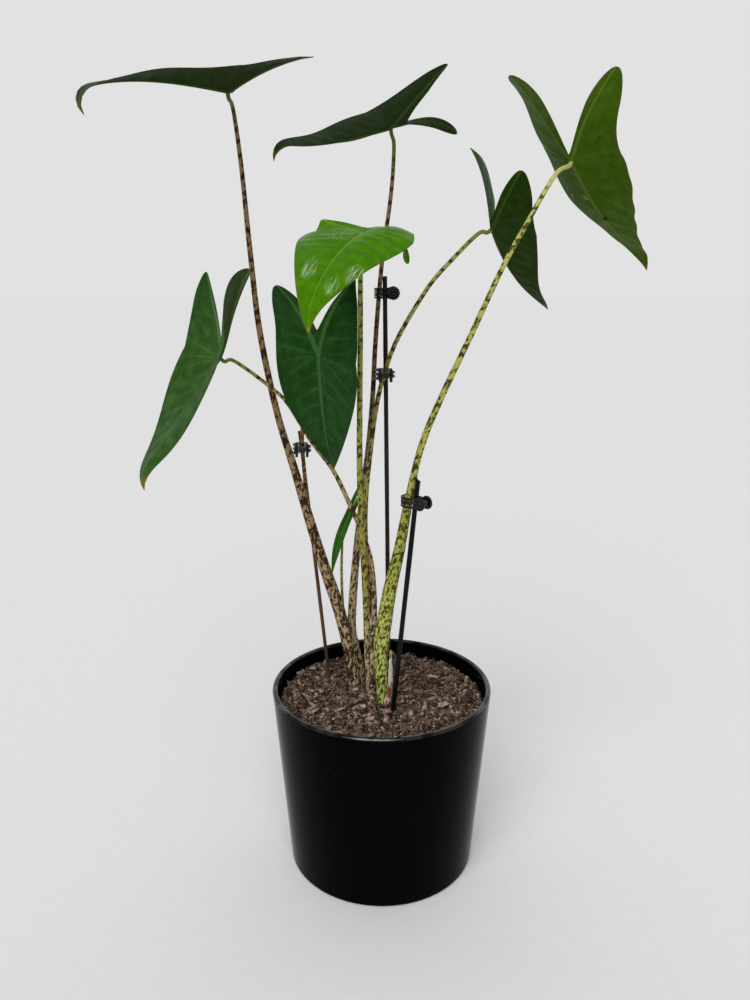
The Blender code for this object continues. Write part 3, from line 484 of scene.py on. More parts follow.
# The bed is much darker than the loose bits: partly the damp mix's own colour, partly painted shade in the
# gaps between crumbs.
bed_finish_with_gap_shade = soil_finish("bark_mix", (0.012, 0.0076, 0.0054), (0.06, 0.038, 0.028),
                         (0.308, 0.21, 0.154), 0.2)
bed_points, bed_faces = soil_bed()
bed = piece("soil_bed", bed_points, bed_faces, bed_finish_with_gap_shade, {"tone": np.full(len(bed_points), 0.4)})
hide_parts("soil")

crumb_finish = soil_finish("bark_crumbs", (0.036, 0.022, 0.015), (0.235, 0.15, 0.106),
                           (0.6, 0.45, 0.33), 0.36)
crumbs = loose_bits("soil_crumbs", CRUMBS, (0.6, 2.1), 0.7, 0.3, crumb_finish, 0.32)

chip_finish = soil_finish("bark_chips", (0.05, 0.03, 0.02), (0.27, 0.172, 0.122),
                          (0.62, 0.46, 0.34), 0.4)
chips = loose_bits("bark_chips", BARK_CHIPS, (1.5, 4.6), 0.4, 0.2, chip_finish, 0.22, 1.1)


def coir_fibres():
    """Thin bent fibres lying on the mix, each a three-sided thread."""
    points, faces, tone = [], [], []
    for x, y in scattered(FIBRES, 0.96):
        length = 3 + 9 * pick.random() ** 1.5
        thick = 0.16 + 0.24 * pick.random() ** 2
        angle, bend = 2 * math.pi * pick.random(), pick.normal(0, 0.25)
        tip_lift = max(0.0, pick.normal(0.2, 0.6))
        here, own, start = np.array([x, y]), pick.random(), len(points)
        for i in range(FIBRE_STEPS):
            z = float(soil_height(*here)) + 0.45 + tip_lift * (i / FIBRE_STEPS) ** 2 * 2
            radius = thick * (1 - 0.6 * abs(2 * i / (FIBRE_STEPS - 1) - 1) ** 2)
            across = np.array([-math.sin(angle), math.cos(angle)])
            for turn in (90, 210, 330):
                out, up = math.cos(math.radians(turn)), math.sin(math.radians(turn))
                points.append((*(here + across * out * radius), z + up * radius))
                tone.append(own)
            here = here + np.array([math.cos(angle), math.sin(angle)]) * length / FIBRE_STEPS
            if np.hypot(*here) > FIBRE_LIMIT:
                here = here * FIBRE_LIMIT / np.hypot(*here)
            angle += bend
        for i in range(FIBRE_STEPS - 1):
            for k in range(3):
                a, b = start + 3 * i + k, start + 3 * i + (k + 1) % 3
                faces.append((a, b, b + 3, a + 3))
        faces.append((start, start + 2, start + 1))
        last = start + 3 * (FIBRE_STEPS - 1)
        faces.append((last, last + 1, last + 2))
    return points, faces, tone


fibre_finish = soil_finish("coir_fibre", (0.07, 0.0448, 0.028), (0.238, 0.168, 0.112),
                           (0.588, 0.476, 0.336), 0.45)
fibre_points, fibre_faces, fibre_tone = coir_fibres()
fibres = piece("coir_fibres", fibre_points, fibre_faces, fibre_finish, {"tone": fibre_tone})


def single_lump(name, x, y, half_sizes, turn, finish, rugged, lift=0.0):
    """One bit that stands out on the mix."""
    base, base_faces = lump_shape(3)
    wobble = np.sin(base @ np.array([3.1, 2.3, 4.0]) + 1) + np.sin(base @ np.array([-4.2, 5.1, 1.7]))
    shape = base * (1 + rugged * wobble[:, None]) * np.array(half_sizes)
    c, s = math.cos(math.radians(turn)), math.sin(math.radians(turn))
    shape = shape @ np.array([[c, s, 0], [-s, c, 0], [0, 0, 1]])
    height = float(soil_height(x, y)) + half_sizes[2] * 0.55 + lift
    made = piece(name, shape + np.array([x, y, height]), base_faces, finish)


bead_finish = grained("tan_bead", (0.55, 0.36, 0.22), 0.5, scale=900.0, detail=2.0,
                      tones=((0.6, 0.4, 0.25), (0.42, 0.25, 0.14)), low=0.35, depth=0.2, strength=0.3)
stone_finish = grained("brown_stone", (0.26, 0.14, 0.09), 0.7, scale=500.0, detail=4.0,
                       tones=((0.34, 0.22, 0.17), (0.15, 0.09, 0.065)), low=0.3, depth=0.4, strength=0.5)
wood_finish = grained("pale_chip", (0.42, 0.34, 0.24), 0.8, scale=(900.0, 200.0, 900.0), detail=3.0,
                      tones=((0.5, 0.42, 0.31), (0.22, 0.16, 0.1)), low=0.3, depth=0.4, strength=0.5)
single_lump("tan_bead", -15.2, -26.5, (2.1, 2.0, 1.9), 0, bead_finish, 0.02)
single_lump("brown_stone", 3.9, -35.5, (3.9, 2.8, 2.4), 10, stone_finish, 0.09)
single_lump("pale_chip", -35.4, -31.5, (5.6, 1.2, 0.9), 38, wood_finish, 0.07, 1.2)
single_lump("light_straw", -46.6, -0.6, (12.0, 0.8, 0.7), 72, wood_finish, 0.04, 1.5)
single_lump("pale_flake", 52.6, -19.5, (5.6, 3.4, 1.6), 25, wood_finish, 0.12, 0.8)


# Leaf blades: eight thick arrow-shaped leaves, glossy above and dull below, each with a midrib, a main vein
# into each of its two lobes, and curved side veins between which the blade puckers up. The young one is
# bright yellow-green; the old ones are dark, dusty and brown at their curled tips.
BLADE_THICKNESS = 0.7
MARGIN_THICKNESS = 0.45
MARGIN_WIDTH = 3.0          # how far in from its edge a blade reaches its full thickness
RIM_ROUND = 0.16            # how far the rounded margin stands out
TRACK_STEPS = 24            # steps in which a blade's curved centre line is added up
CURL_FROM = 0.75            # share of the midrib where its tip starts to curl
ROUND_FROM = 0.62           # share of a lobe where its end starts to round
VEIN_AT = 0.45              # where a lobe's main vein lies, from its inner edge to its outer
BLADE_ROWS = (110, 6, 50)   # rows ahead of the stem, in the throat and down each lobe
BLADE_COLUMNS = 38
SIDE_VEIN_SPACING = 16.0
SIDE_VEIN_LEAN = 0.42       # how far forward a side vein runs for each millimetre outward
SIDE_VEIN_BOW = 0.007
FIRST_VEIN_DROOP = 0.2      # how far back the first vein of a lobe runs for each millimetre outward
INNER_VEIN_LEAN = 0.7
END_FIELD = 14.0            # mm between side veins at the very ends of a blade
NO_EDGE = 99.0              # distance from an inner edge where the two halves are grown together
RIB_RIDGE = 1.1             # how far the midrib stands out below, at the stem
RIB_GROOVE = 0.5            # how deep it lies above
# Tone of the painted highlights on the young leaf's quilted upper side
PAINTED_HIGHLIGHT_TONE = (226, 240, 196)
DUST_TONE = (200, 205, 180)
PALE_SCAR = (190, 194, 150)


def half(width, lobe, outer, inner, fold, tip_fold, lobe_fold, cup, lift, sway, turn):
    """One half of a blade: its greatest width, the length of its lobe and where the lobe's edges end; how
    steeply it folds up at the stem, the tip and the lobe's end; its cup; and the bends of its lobe."""
    return {
        "width": width, "lobe": lobe, "outer": outer, "inner": inner,
        "fold": fold, "tip_fold": tip_fold, "lobe_fold": lobe_fold,
        "cup": cup, "lift": lift, "sway": sway, "turn": turn,
    }


# A blade's joint is where its stem meets it. Taper, bulge and scallop shape its edge, and sinus is the share
# of its lobes that is grown together. Droop, curl, sweep and twist bend the midrib on its way to the tip.
# Wave is the height, count and start of the ripples along its edge, and pucker how high its fields stand.
LEAVES = {
    "upper_left": {
        "joint": (-113.0, -5.0, 637.5), "heading": 223, "pitch": 0.8, "roll": 11,
        "length": 138.0, "taper": 1.4, "bulge": -0.1, "sinus": 0.08,
        "droop": 30, "curl": 90, "sweep": -9, "twist": -11,
        "wave": (0.8, 2.5, 0.1), "pucker": 0.5,
        "left": half(24.5, 54.0, 56.0, 34.0, 45, 0, 43, -40, 13, -1, 12),
        "right": half(24.5, 42.0, 51.0, 33.5, 40, 16, 18, -21, 53, 15, -4),
    },
    "upper_middle": {
        "joint": (6.0, 7.0, 615.0), "heading": 144, "pitch": -7, "roll": -3,
        "length": 135.5, "taper": 1.4, "bulge": -0.06, "sinus": 0.28,
        "droop": -22, "curl": 90, "sweep": 10, "twist": 7,
        "wave": (0.8, 2.5, 0.6), "pucker": 0.5,
        "left": half(31.5, 60.0, 44.5, 34.0, 30, 20, 40, -30, 3, -15, 14),
        "right": half(26.0, 42.0, 51.0, 34.0, 31, 15, 19, -40, 0, -15, -5),
    },
    "young": {
        "joint": (-15.5, -52.0, 536.5), "heading": -108, "pitch": -15, "roll": 0,
        "length": 131.5, "taper": 1.5, "bulge": -0.07, "sinus": 0.28,
        "droop": 29, "curl": 51, "sweep": -3, "twist": -22,
        "wave": (0.8, 2, 0.4), "pucker": 0.7,
        "left": half(38.5, 67.5, 20.0, 34.0, 9, -1, 7, -40, -50, -20, 0),
        "right": half(41.0, 45.5, 42.0, 33.0, 12, 10, 5, -21, 40, -20, 2),
    },
    "left": {
        "joint": (-124.0, -25.0, 447.5), "heading": 227, "pitch": -46, "roll": 25,
        "length": 121.0, "taper": 1.72, "bulge": -0.05, "sinus": 0.08,
        "droop": -2, "curl": 59, "sweep": -6, "twist": -12,
        "wave": (0.8, 2, 0.2), "pucker": 0.5,
        "left": half(39.0, 53.5, 44.5, 32.0, 25, -25, 60, -21, -28, 9, 25),
        "right": half(36.5, 58.5, 44.0, 34.0, 30, -11, 60, 24, 15, -3, -23),
    },
    "front": {
        "joint": (-49.5, -12.0, 448.0), "heading": -102, "pitch": -99, "roll": 21,
        "length": 101.5, "taper": 1.79, "bulge": 0.09, "sinus": 0.33,
        "droop": 22, "curl": 7, "sweep": 3, "twist": 6,
        "wave": (0.8, 2, 0.5), "pucker": 0.5,
        "left": half(42.0, 64.0, 25.5, 20.5, 18, 17, -11, -10, -22, 5, -9),
        "right": half(39.5, 58.0, 35.5, 12.5, 9, 6, 4, -4, 30, -2, 2),
    },
    "right": {
        "joint": (86.5, 24.0, 544.0), "heading": 69, "pitch": -29, "roll": 47,
        "length": 138.5, "taper": 1.85, "bulge": -0.1, "sinus": 0.15,
        "droop": -25, "curl": 12, "sweep": 15, "twist": -14,
        "wave": (0.8, 2, 0.3), "pucker": 0.6,
        "left": half(34.0, 64.5, 31.5, 30.0, 45, -4, 37, -17, -15, -7, 12),
        "right": half(37.0, 65.5, 37.0, 20.5, 36, 13, 26, 4, 20, 10, -9),
    },
    "upper_right": {
        "joint": (141.0, 0.0, 591.0), "heading": 49, "pitch": -39, "roll": 1,
        "length": 138.0, "taper": 1.4, "bulge": 0.18, "sinus": 0.08,
        "droop": -25, "curl": 74, "sweep": 15, "twist": -4,
        "wave": (1.5, 3, 0.35), "pucker": 0.7, "scallop": 1.8,
        "left": half(39.0, 78.0, 53.5, 5.0, 19, 14, 23, 24, 19, 20, -1),
        "right": half(38.5, 69.0, 54.5, 31.0, 8, -22, 2, -9, 50, -10, 1),
    },
    "new": {
        "joint": (-29.2, 12.5, 309.8), "heading": 180, "pitch": -66, "roll": -90,
        "length": 54.0, "taper": 2.2, "bulge": 0.2, "sinus": 0.3,
        "droop": 6, "curl": 8, "sweep": -18, "twist": 6,
        "wave": (0, 2, 0), "pucker": 0.1,
        "left": half(3.5, 36.0, 3.2, 0.8, 14, 10, 10, -5, -3, 0, 0),
        "right": half(3.5, 34.0, 3.2, 0.8, 14, 10, 12, -7, 3, 0, 0),
    },
}


def start_frame(leaf):
    """Unit vectors at the stem's joint: forward along the midrib, up from the upper face, right."""
    heading, pitch, roll = (math.radians(leaf[key]) for key in ("heading", "pitch", "roll"))
    flat = np.array([math.cos(heading), math.sin(heading), 0.0])
    rise = np.array([0.0, 0.0, 1.0])
    forward = flat * math.cos(pitch) + rise * math.sin(pitch)
    up = rise * math.cos(pitch) - flat * math.sin(pitch)
    right = np.cross(forward, up)
    up = up * math.cos(roll) + right * math.sin(roll)
    return forward, up, np.cross(forward, up)


def bent_track(frame_at, length, drop, sweep, twist, sign):
    """Centre line, forward and up vectors at even steps, for angles in degrees at those steps."""
    forward, up, right = frame_at
    drop, sweep, twist = (np.radians(a)[:, None] for a in (drop, sweep, twist))
    heading = (forward * np.cos(drop) - up * np.sin(drop)) * np.cos(sweep) + right * np.sin(sweep)
    normal = up * np.cos(drop) + forward * np.sin(drop)
    side = np.cross(heading, normal)
    normal = normal * np.cos(twist) + side * np.sin(twist)
    steps = (heading[1:] + heading[:-1]) / 2 * length / TRACK_STEPS * sign
    centre = np.concatenate([np.zeros((1, 3)), np.cumsum(steps, axis=0)])
    return centre, heading, normal


def leaf_tracks(leaf):
    frame_at = start_frame(leaf)
    share = np.linspace(0, 1, TRACK_STEPS + 1)
    near_tip = np.clip((share - CURL_FROM) / (1 - CURL_FROM), 0, 1)
    droop = leaf["droop"] * share**1.6 + leaf["curl"] * near_tip**2
    sweep, twist = leaf["sweep"] * share, leaf["twist"] * share
    tracks = {"midrib": bent_track(frame_at, leaf["length"], droop, sweep, twist, 1)}
    for side in ("left", "right"):
        lobe = leaf[side]
        bends = (lobe[key] * share for key in ("lift", "sway", "turn"))
        tracks[side] = bent_track(frame_at, lobe["lobe"], *bends, -1)
    return tracks


def throat(leaf):
    """Distance from the stem's joint back to where the two lobes part."""
    return leaf["sinus"] * (leaf["left"]["lobe"] + leaf["right"]["lobe"]) / 2


def outline(leaf, side, u):
    """Inner and outer edge of a half at each u."""
    shape = leaf[side]
    width, back = shape["width"], shape["lobe"]
    ahead = np.clip(u / leaf["length"], 0, 1)
    front_edge = width * (1 - ahead ** leaf["taper"]) * (1 + 4 * leaf["bulge"] * ahead * (1 - ahead))
    waves = np.sin(8 * ahead) + 0.35 * np.sin(37 * ahead)
    front_edge = front_edge + leaf.get("scallop", 0.0) * waves * np.sin(np.pi * ahead) ** 0.5
    x = np.clip(-u / back, 0, 1)
    start = throat(leaf) / back
    outer = width + (shape["outer"] - width) * x**1.3
    inner = shape["inner"] * np.clip((x - start) / (1 - start), 0, 1) ** 0.85
    rounding = np.sqrt(np.clip(1 - (np.clip(x - ROUND_FROM, 0, 1) / (1 - ROUND_FROM)) ** 2, 0, 1))
    middle = inner + (outer - inner) * VEIN_AT
    inner = np.maximum(middle - (middle - inner) * rounding, 0)
    outer = middle + (outer - middle) * rounding
    return np.where(u >= 0, 0, inner), np.where(u >= 0, front_edge, outer)


def along(track, share):
    """Centre, forward and up vectors at a share of a track's length."""
    step = np.clip(share, 0, 1) * TRACK_STEPS
    first = np.minimum(step.astype(int), TRACK_STEPS - 1)
    part = (step - first)[:, None]
    return [values[first] * (1 - part) + values[first + 1] * part for values in track]


def bend_half(leaf, side, u, v, tracks):
    """Points in mm, from the stem's joint, for flat positions (u, v) on one half of a blade."""
    shape = leaf[side]
    sign = 1.0 if side == "right" else -1.0
    other = "left" if side == "right" else "right"
    edge = np.maximum(outline(leaf, side, u)[1], 1e-3)
    result = np.zeros((len(u), 3))
    for behind in (False, True):
        part = (u < 0) if behind else (u >= 0)
        if not part.any():
            continue
        length = shape["lobe"] if behind else leaf["length"]
        share = np.clip(np.abs(u[part]) / length, 0, 1)
        centre, forward, up = along(tracks[side if behind else "midrib"], share)
        if behind:
            # The two lobes share their centre line as far as the throat, then part.
            mirror = along(tracks[other], np.abs(u[part]) / leaf[other]["lobe"])[0]
            parted = np.clip((np.abs(u[part]) - throat(leaf)) / (length - throat(leaf)), 0, 1)
            parted = parted[:, None] ** 0.7
            centre = (centre + mirror) / 2 * (1 - parted) + centre * parted
        outward = np.cross(forward, up) * sign
        end_fold = shape["lobe_fold"] if behind else shape["tip_fold"]
        fold = np.radians(shape["fold"] + (end_fold - shape["fold"]) * share)
        curve = math.radians(shape["cup"]) / shape["width"]
        across = (np.sin(fold + curve * v[part]) - np.sin(fold)) / curve
        rise = (np.cos(fold) - np.cos(fold + curve * v[part])) / curve
        run = (leaf["length"] - u[part]) / (leaf["length"] + shape["lobe"])
        height, count, phase = leaf["wave"]
        shift = 1.3 if side == "left" else 0.0
        ripple = height * np.sin(2 * np.pi * (count * run + phase) + shift)
        rise = rise + ripple * (v[part] / edge[part]) ** 2 * np.sqrt(np.sin(np.pi * np.clip(run, 0, 1)))
        result[part] = centre + across[:, None] * outward + rise[:, None] * up
    return result


def blade_grid(leaf, side):
    """Flat positions (u, v) of a half, row by row from the tip to the lobe's end."""
    length, back, open_at = leaf["length"], leaf[side]["lobe"], throat(leaf)
    ahead, neck, lobe = BLADE_ROWS
    front_u = length * (1 - np.linspace(0, 1, ahead + 1)[1:] ** 1.3)
    neck_u = -open_at * np.linspace(0, 1, neck + 1)[1:]
    lobe_u = -(open_at + (back - open_at) * (1 - (1 - np.linspace(0, 1, lobe + 1)[1:-1]) ** 1.9))
    u = np.concatenate([front_u, neck_u, lobe_u])
    inner, outer = outline(leaf, side, u)
    share = np.linspace(0, 1, BLADE_COLUMNS + 1)
    return u, inner[:, None] + (outer - inner)[:, None] * share


def vein_map(leaf, side, u, v):
    """Phase among the side veins (whole numbers lie on a vein), mm per phase, and signed distance from
    the lobe's main vein. Three fields meet: ahead of the stem, in the wedge beside it and on the lobe."""
    lobe = leaf[side]
    spacing = SIDE_VEIN_SPACING * leaf["length"] / 130
    slope = (lobe["inner"] + VEIN_AT * (lobe["outer"] - lobe["inner"])) / lobe["lobe"]
    back = np.maximum(-u, 0)
    past = v - slope * back
    lean, bow = SIDE_VEIN_LEAN, SIDE_VEIN_BOW
    forward = u - lean * v - bow * v**2
    high, low = np.arctan(lean + bow * v), -math.atan(FIRST_VEIN_DROOP)
    angle = np.arctan2(u, np.maximum(v, 1e-6))
    wedge = np.clip((angle - low) / (high - low), 0, 1)
    outward_lean = FIRST_VEIN_DROOP / (1 - FIRST_VEIN_DROOP * slope)
    run = back - np.where(past > 0, outward_lean * past, -INNER_VEIN_LEAN * past)
    beside = np.where(angle > low, -2 * (1 - wedge), -2 - run / spacing)
    phase = np.where(forward >= 0, forward / spacing, beside)
    size = np.where((forward < 0) & (angle > low), np.hypot(u, v) * (high - low) / 2, spacing * 0.88)
    return phase, size, past / math.hypot(1, slope)


def open_edges(cells):
    """The edges that only one cell has, each in that cell's own direction, in the order of the cells."""
    edges = {}
    for cell in cells:
        for a, b in zip(cell, cell[1:] + cell[:1]):
            if (b, a) in edges:
                del edges[(b, a)]
            else:
                edges[(a, b)] = True
    return list(edges)


def blade_sheet(leaf):
    """The bare sheet of a blade: its points, what the finish reads at each of them (u, v, distance from a
    lobe's vein, vein phase, mm per phase, distance from the edge) and its cells."""
    tracks = leaf_tracks(leaf)
    joined_rows = BLADE_ROWS[0] + BLADE_ROWS[1]
    spots, flat, cells = [], [], []
    index = {}
    for side in ("left", "right"):
        lobe = leaf[side]["lobe"]
        sign = 1.0 if side == "right" else -1.0
        u, v = blade_grid(leaf, side)
        rows, wide = v.shape
        u, v = np.repeat(u, wide), v.ravel()
        bent = bend_half(leaf, side, u, v, tracks)
        phase, size, past = vein_map(leaf, side, u, v)
        low, high = np.sort(outline(leaf, side, u), axis=0)
        gap = np.where(u < -throat(leaf), v - low, NO_EDGE)
        margin = np.minimum(high - v, gap)
        margin = np.minimum(margin, (leaf["length"] - u) * 0.3 + 0.2)
        margin = np.minimum(margin, (u + lobe) * 0.8 + 0.2)
        ids = np.full((rows, wide), -1)
        for i in range(rows):
            for j in range(wide):
                if j == 0 and i < joined_rows and side == "right":
                    ids[i, j] = index["left"][i, j]
                else:
                    at = i * wide + j
                    ids[i, j] = len(spots)
                    spots.append(bent[at])
                    flat.append((u[at], v[at] * sign, past[at], phase[at], size[at], margin[at]))
        index[side] = ids
        quads = np.stack([ids[1:, :-1], ids[1:, 1:], ids[:-1, 1:], ids[:-1, :-1]], axis=-1).reshape(-1, 4)
        end_u = np.array([-lobe])
        end_v = outline(leaf, side, end_u)[1]
        end = len(spots)
        spots.append(bend_half(leaf, side, end_u, end_v, tracks)[0])
        flat.append((end_u[0], end_v[0] * sign, 0.0, -2 - lobe / SIDE_VEIN_SPACING, END_FIELD, 0.0))
        made = [tuple(q) for q in quads]
        made += [(end, ids[-1, j + 1], ids[-1, j]) for j in range(wide - 1)]
        made += [(ids[0, j], ids[0, j + 1], "tip") for j in range(wide - 1)]
        cells += [tuple(reversed(c)) if side == "left" else c for c in made]
    tip = len(spots)
    spots.append(tracks["midrib"][0][-1])
    flat.append((leaf["length"], 0.0, 40.0, leaf["length"] / SIDE_VEIN_SPACING, END_FIELD, 0.0))
    cells = [tuple(int(tip if i == "tip" else i) for i in cell) for cell in cells]
    return np.array(spots) + np.array(leaf["joint"]), np.array(flat), cells


def blade_relief(leaf, flat):
    """How far a blade's upper and lower faces stand off its sheet: thin at the margin, grooved above and
    ridged below along its main veins, and puckered up between its side veins."""
    u, v, past, phase, size, margin = flat.T
    rib = np.abs(v) + 1.5 * np.maximum(-u, 0)
    lobe_vein = np.abs(past) + 1.5 * np.maximum(u, 0)
    taper = np.clip(1 - np.where(u > 0, u / leaf["length"], -u / 75), 0.12, 1)
    main = np.minimum(rib, lobe_vein) / (0.35 + 0.65 * taper)
    between = np.sin(np.pi * phase) ** 2 * np.clip((main - 1.5) / 7, 0, 1) * np.clip(margin / 10, 0, 1)
    scale_down = min(1.0, leaf["length"] / 100)
    pucker = leaf["pucker"] * between * np.clip(size / 10, 0, 1)
    fullness = np.clip(margin / MARGIN_WIDTH, 0, 1)
    half_thick = (MARGIN_THICKNESS + (BLADE_THICKNESS - MARGIN_THICKNESS) * fullness) / 2
    groove = RIB_GROOVE * np.exp(-((main / 1.3) ** 2)) * taper * scale_down
    ridge = RIB_RIDGE * np.exp(-((main / 1.25) ** 2)) * taper * scale_down
    return half_thick - groove + pucker, half_thick + ridge - pucker


def unit_rows(vectors):
    """Vectors, one to a row, each brought to length 1."""
    return vectors / np.maximum(np.linalg.norm(vectors, axis=1), 1e-9)[:, None]


def blade_piece(name, leaf, finish):
    """A closed shell: an upper and a lower face with the veins in relief, and a rounded margin."""
    spots, flat, cells = blade_sheet(leaf)
    normal = np.zeros_like(spots)
    for cell in cells:
        a, b, c = spots[cell[0]], spots[cell[1]], spots[cell[2]]
        normal[list(cell)] += np.cross(b - a, c - a)
    normal = unit_rows(normal)
    above, below = blade_relief(leaf, flat)
    upper = spots + normal * above[:, None]
    lower = spots - normal * below[:, None]

    edges = open_edges(cells)
    outward = np.zeros_like(spots)
    for a, b in edges:
        out = np.cross(spots[b] - spots[a], normal[a])
        outward[a] += out
        outward[b] += out
    border = sorted({i for edge in edges for i in edge})
    rim = (upper[border] + lower[border]) / 2 + unit_rows(outward[border]) * RIM_ROUND
    count = len(spots)
    rim_at = {i: 2 * count + k for k, i in enumerate(border)}
    faces = cells + [tuple(i + count for i in reversed(cell)) for cell in cells]
    for a, b in edges:
        faces.append((b, a, rim_at[a], rim_at[b]))
        faces.append((rim_at[b], rim_at[a], a + count, b + count))
    values = {
        "blade": np.concatenate([flat[:, :3], flat[:, :3], flat[border, :3]]),
        "vein": np.concatenate([flat[:, 3:], flat[:, 3:], flat[border, 3:]]),
        "upper": np.concatenate([np.ones(count), np.zeros(count), np.full(len(border), 0.5)]),
    }
    made = piece("leaf_" + name, np.concatenate([upper, lower, rim]), faces, finish, values)
    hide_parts("blade_" + name)


def seen(red, green, blue):
    """A shade as the eye sees it on a screen, 0 to 255, as a light-linear colour."""
    return tuple(c / 255 / 12.92 if c < 10 else ((c / 255 + 0.055) / 1.055) ** 2.4
                 for c in (red, green, blue))


def paint_highlights(leaf, skin, spot, u, v, upper, patches):
    """Painted highlights standing in for the shine on the waxy, quilted upper side: light patches (u, v,
    reach along u, reach along v, strength), broken into streaks.
    """
    ragged = leaf.noise(leaf.bent(spot, 0.12, (7.0, 7.0, 0)), (0.07, 0.1, 1.0), 3.0, 0.8, 0.5)
    streaks = leaf.ease(ragged, 0.4, 0.72)
    for at_u, at_v, reach_u, reach_v, strength in patches:
        far_u = leaf.math("DIVIDE", leaf.minus(u, at_u), reach_u)
        far_v = leaf.math("DIVIDE", leaf.minus(v, at_v), reach_v)
        patch = leaf.ease(leaf.squares(far_u, far_v), 0.1, 1.0, strength, 0.0)
        skin = leaf.mix(leaf.times(leaf.times(patch, streaks), upper), skin, seen(*PAINTED_HIGHLIGHT_TONE))
    return skin


def scarred(leaf, skin, u, v, fine, marks):
    """Small scars (u, v, radius, ring, tone): a spot, or, with a ring share, a ring round a sound middle."""
    for at_u, at_v, radius, ring, tone in marks:
        away = leaf.math("SQRT", leaf.squares(leaf.minus(u, at_u), leaf.minus(v, at_v)))
        away = leaf.plus(away, leaf.centred(fine, radius * 0.8))
        inner_side = leaf.ease(away, radius * ring * 0.7, radius * ring) if ring else 1.0
        mark = leaf.times(leaf.ease(away, radius * 0.85, radius * 1.15, 1.0, 0.0), inner_side)
        skin = leaf.mix(mark, skin, seen(*tone))
    return skin


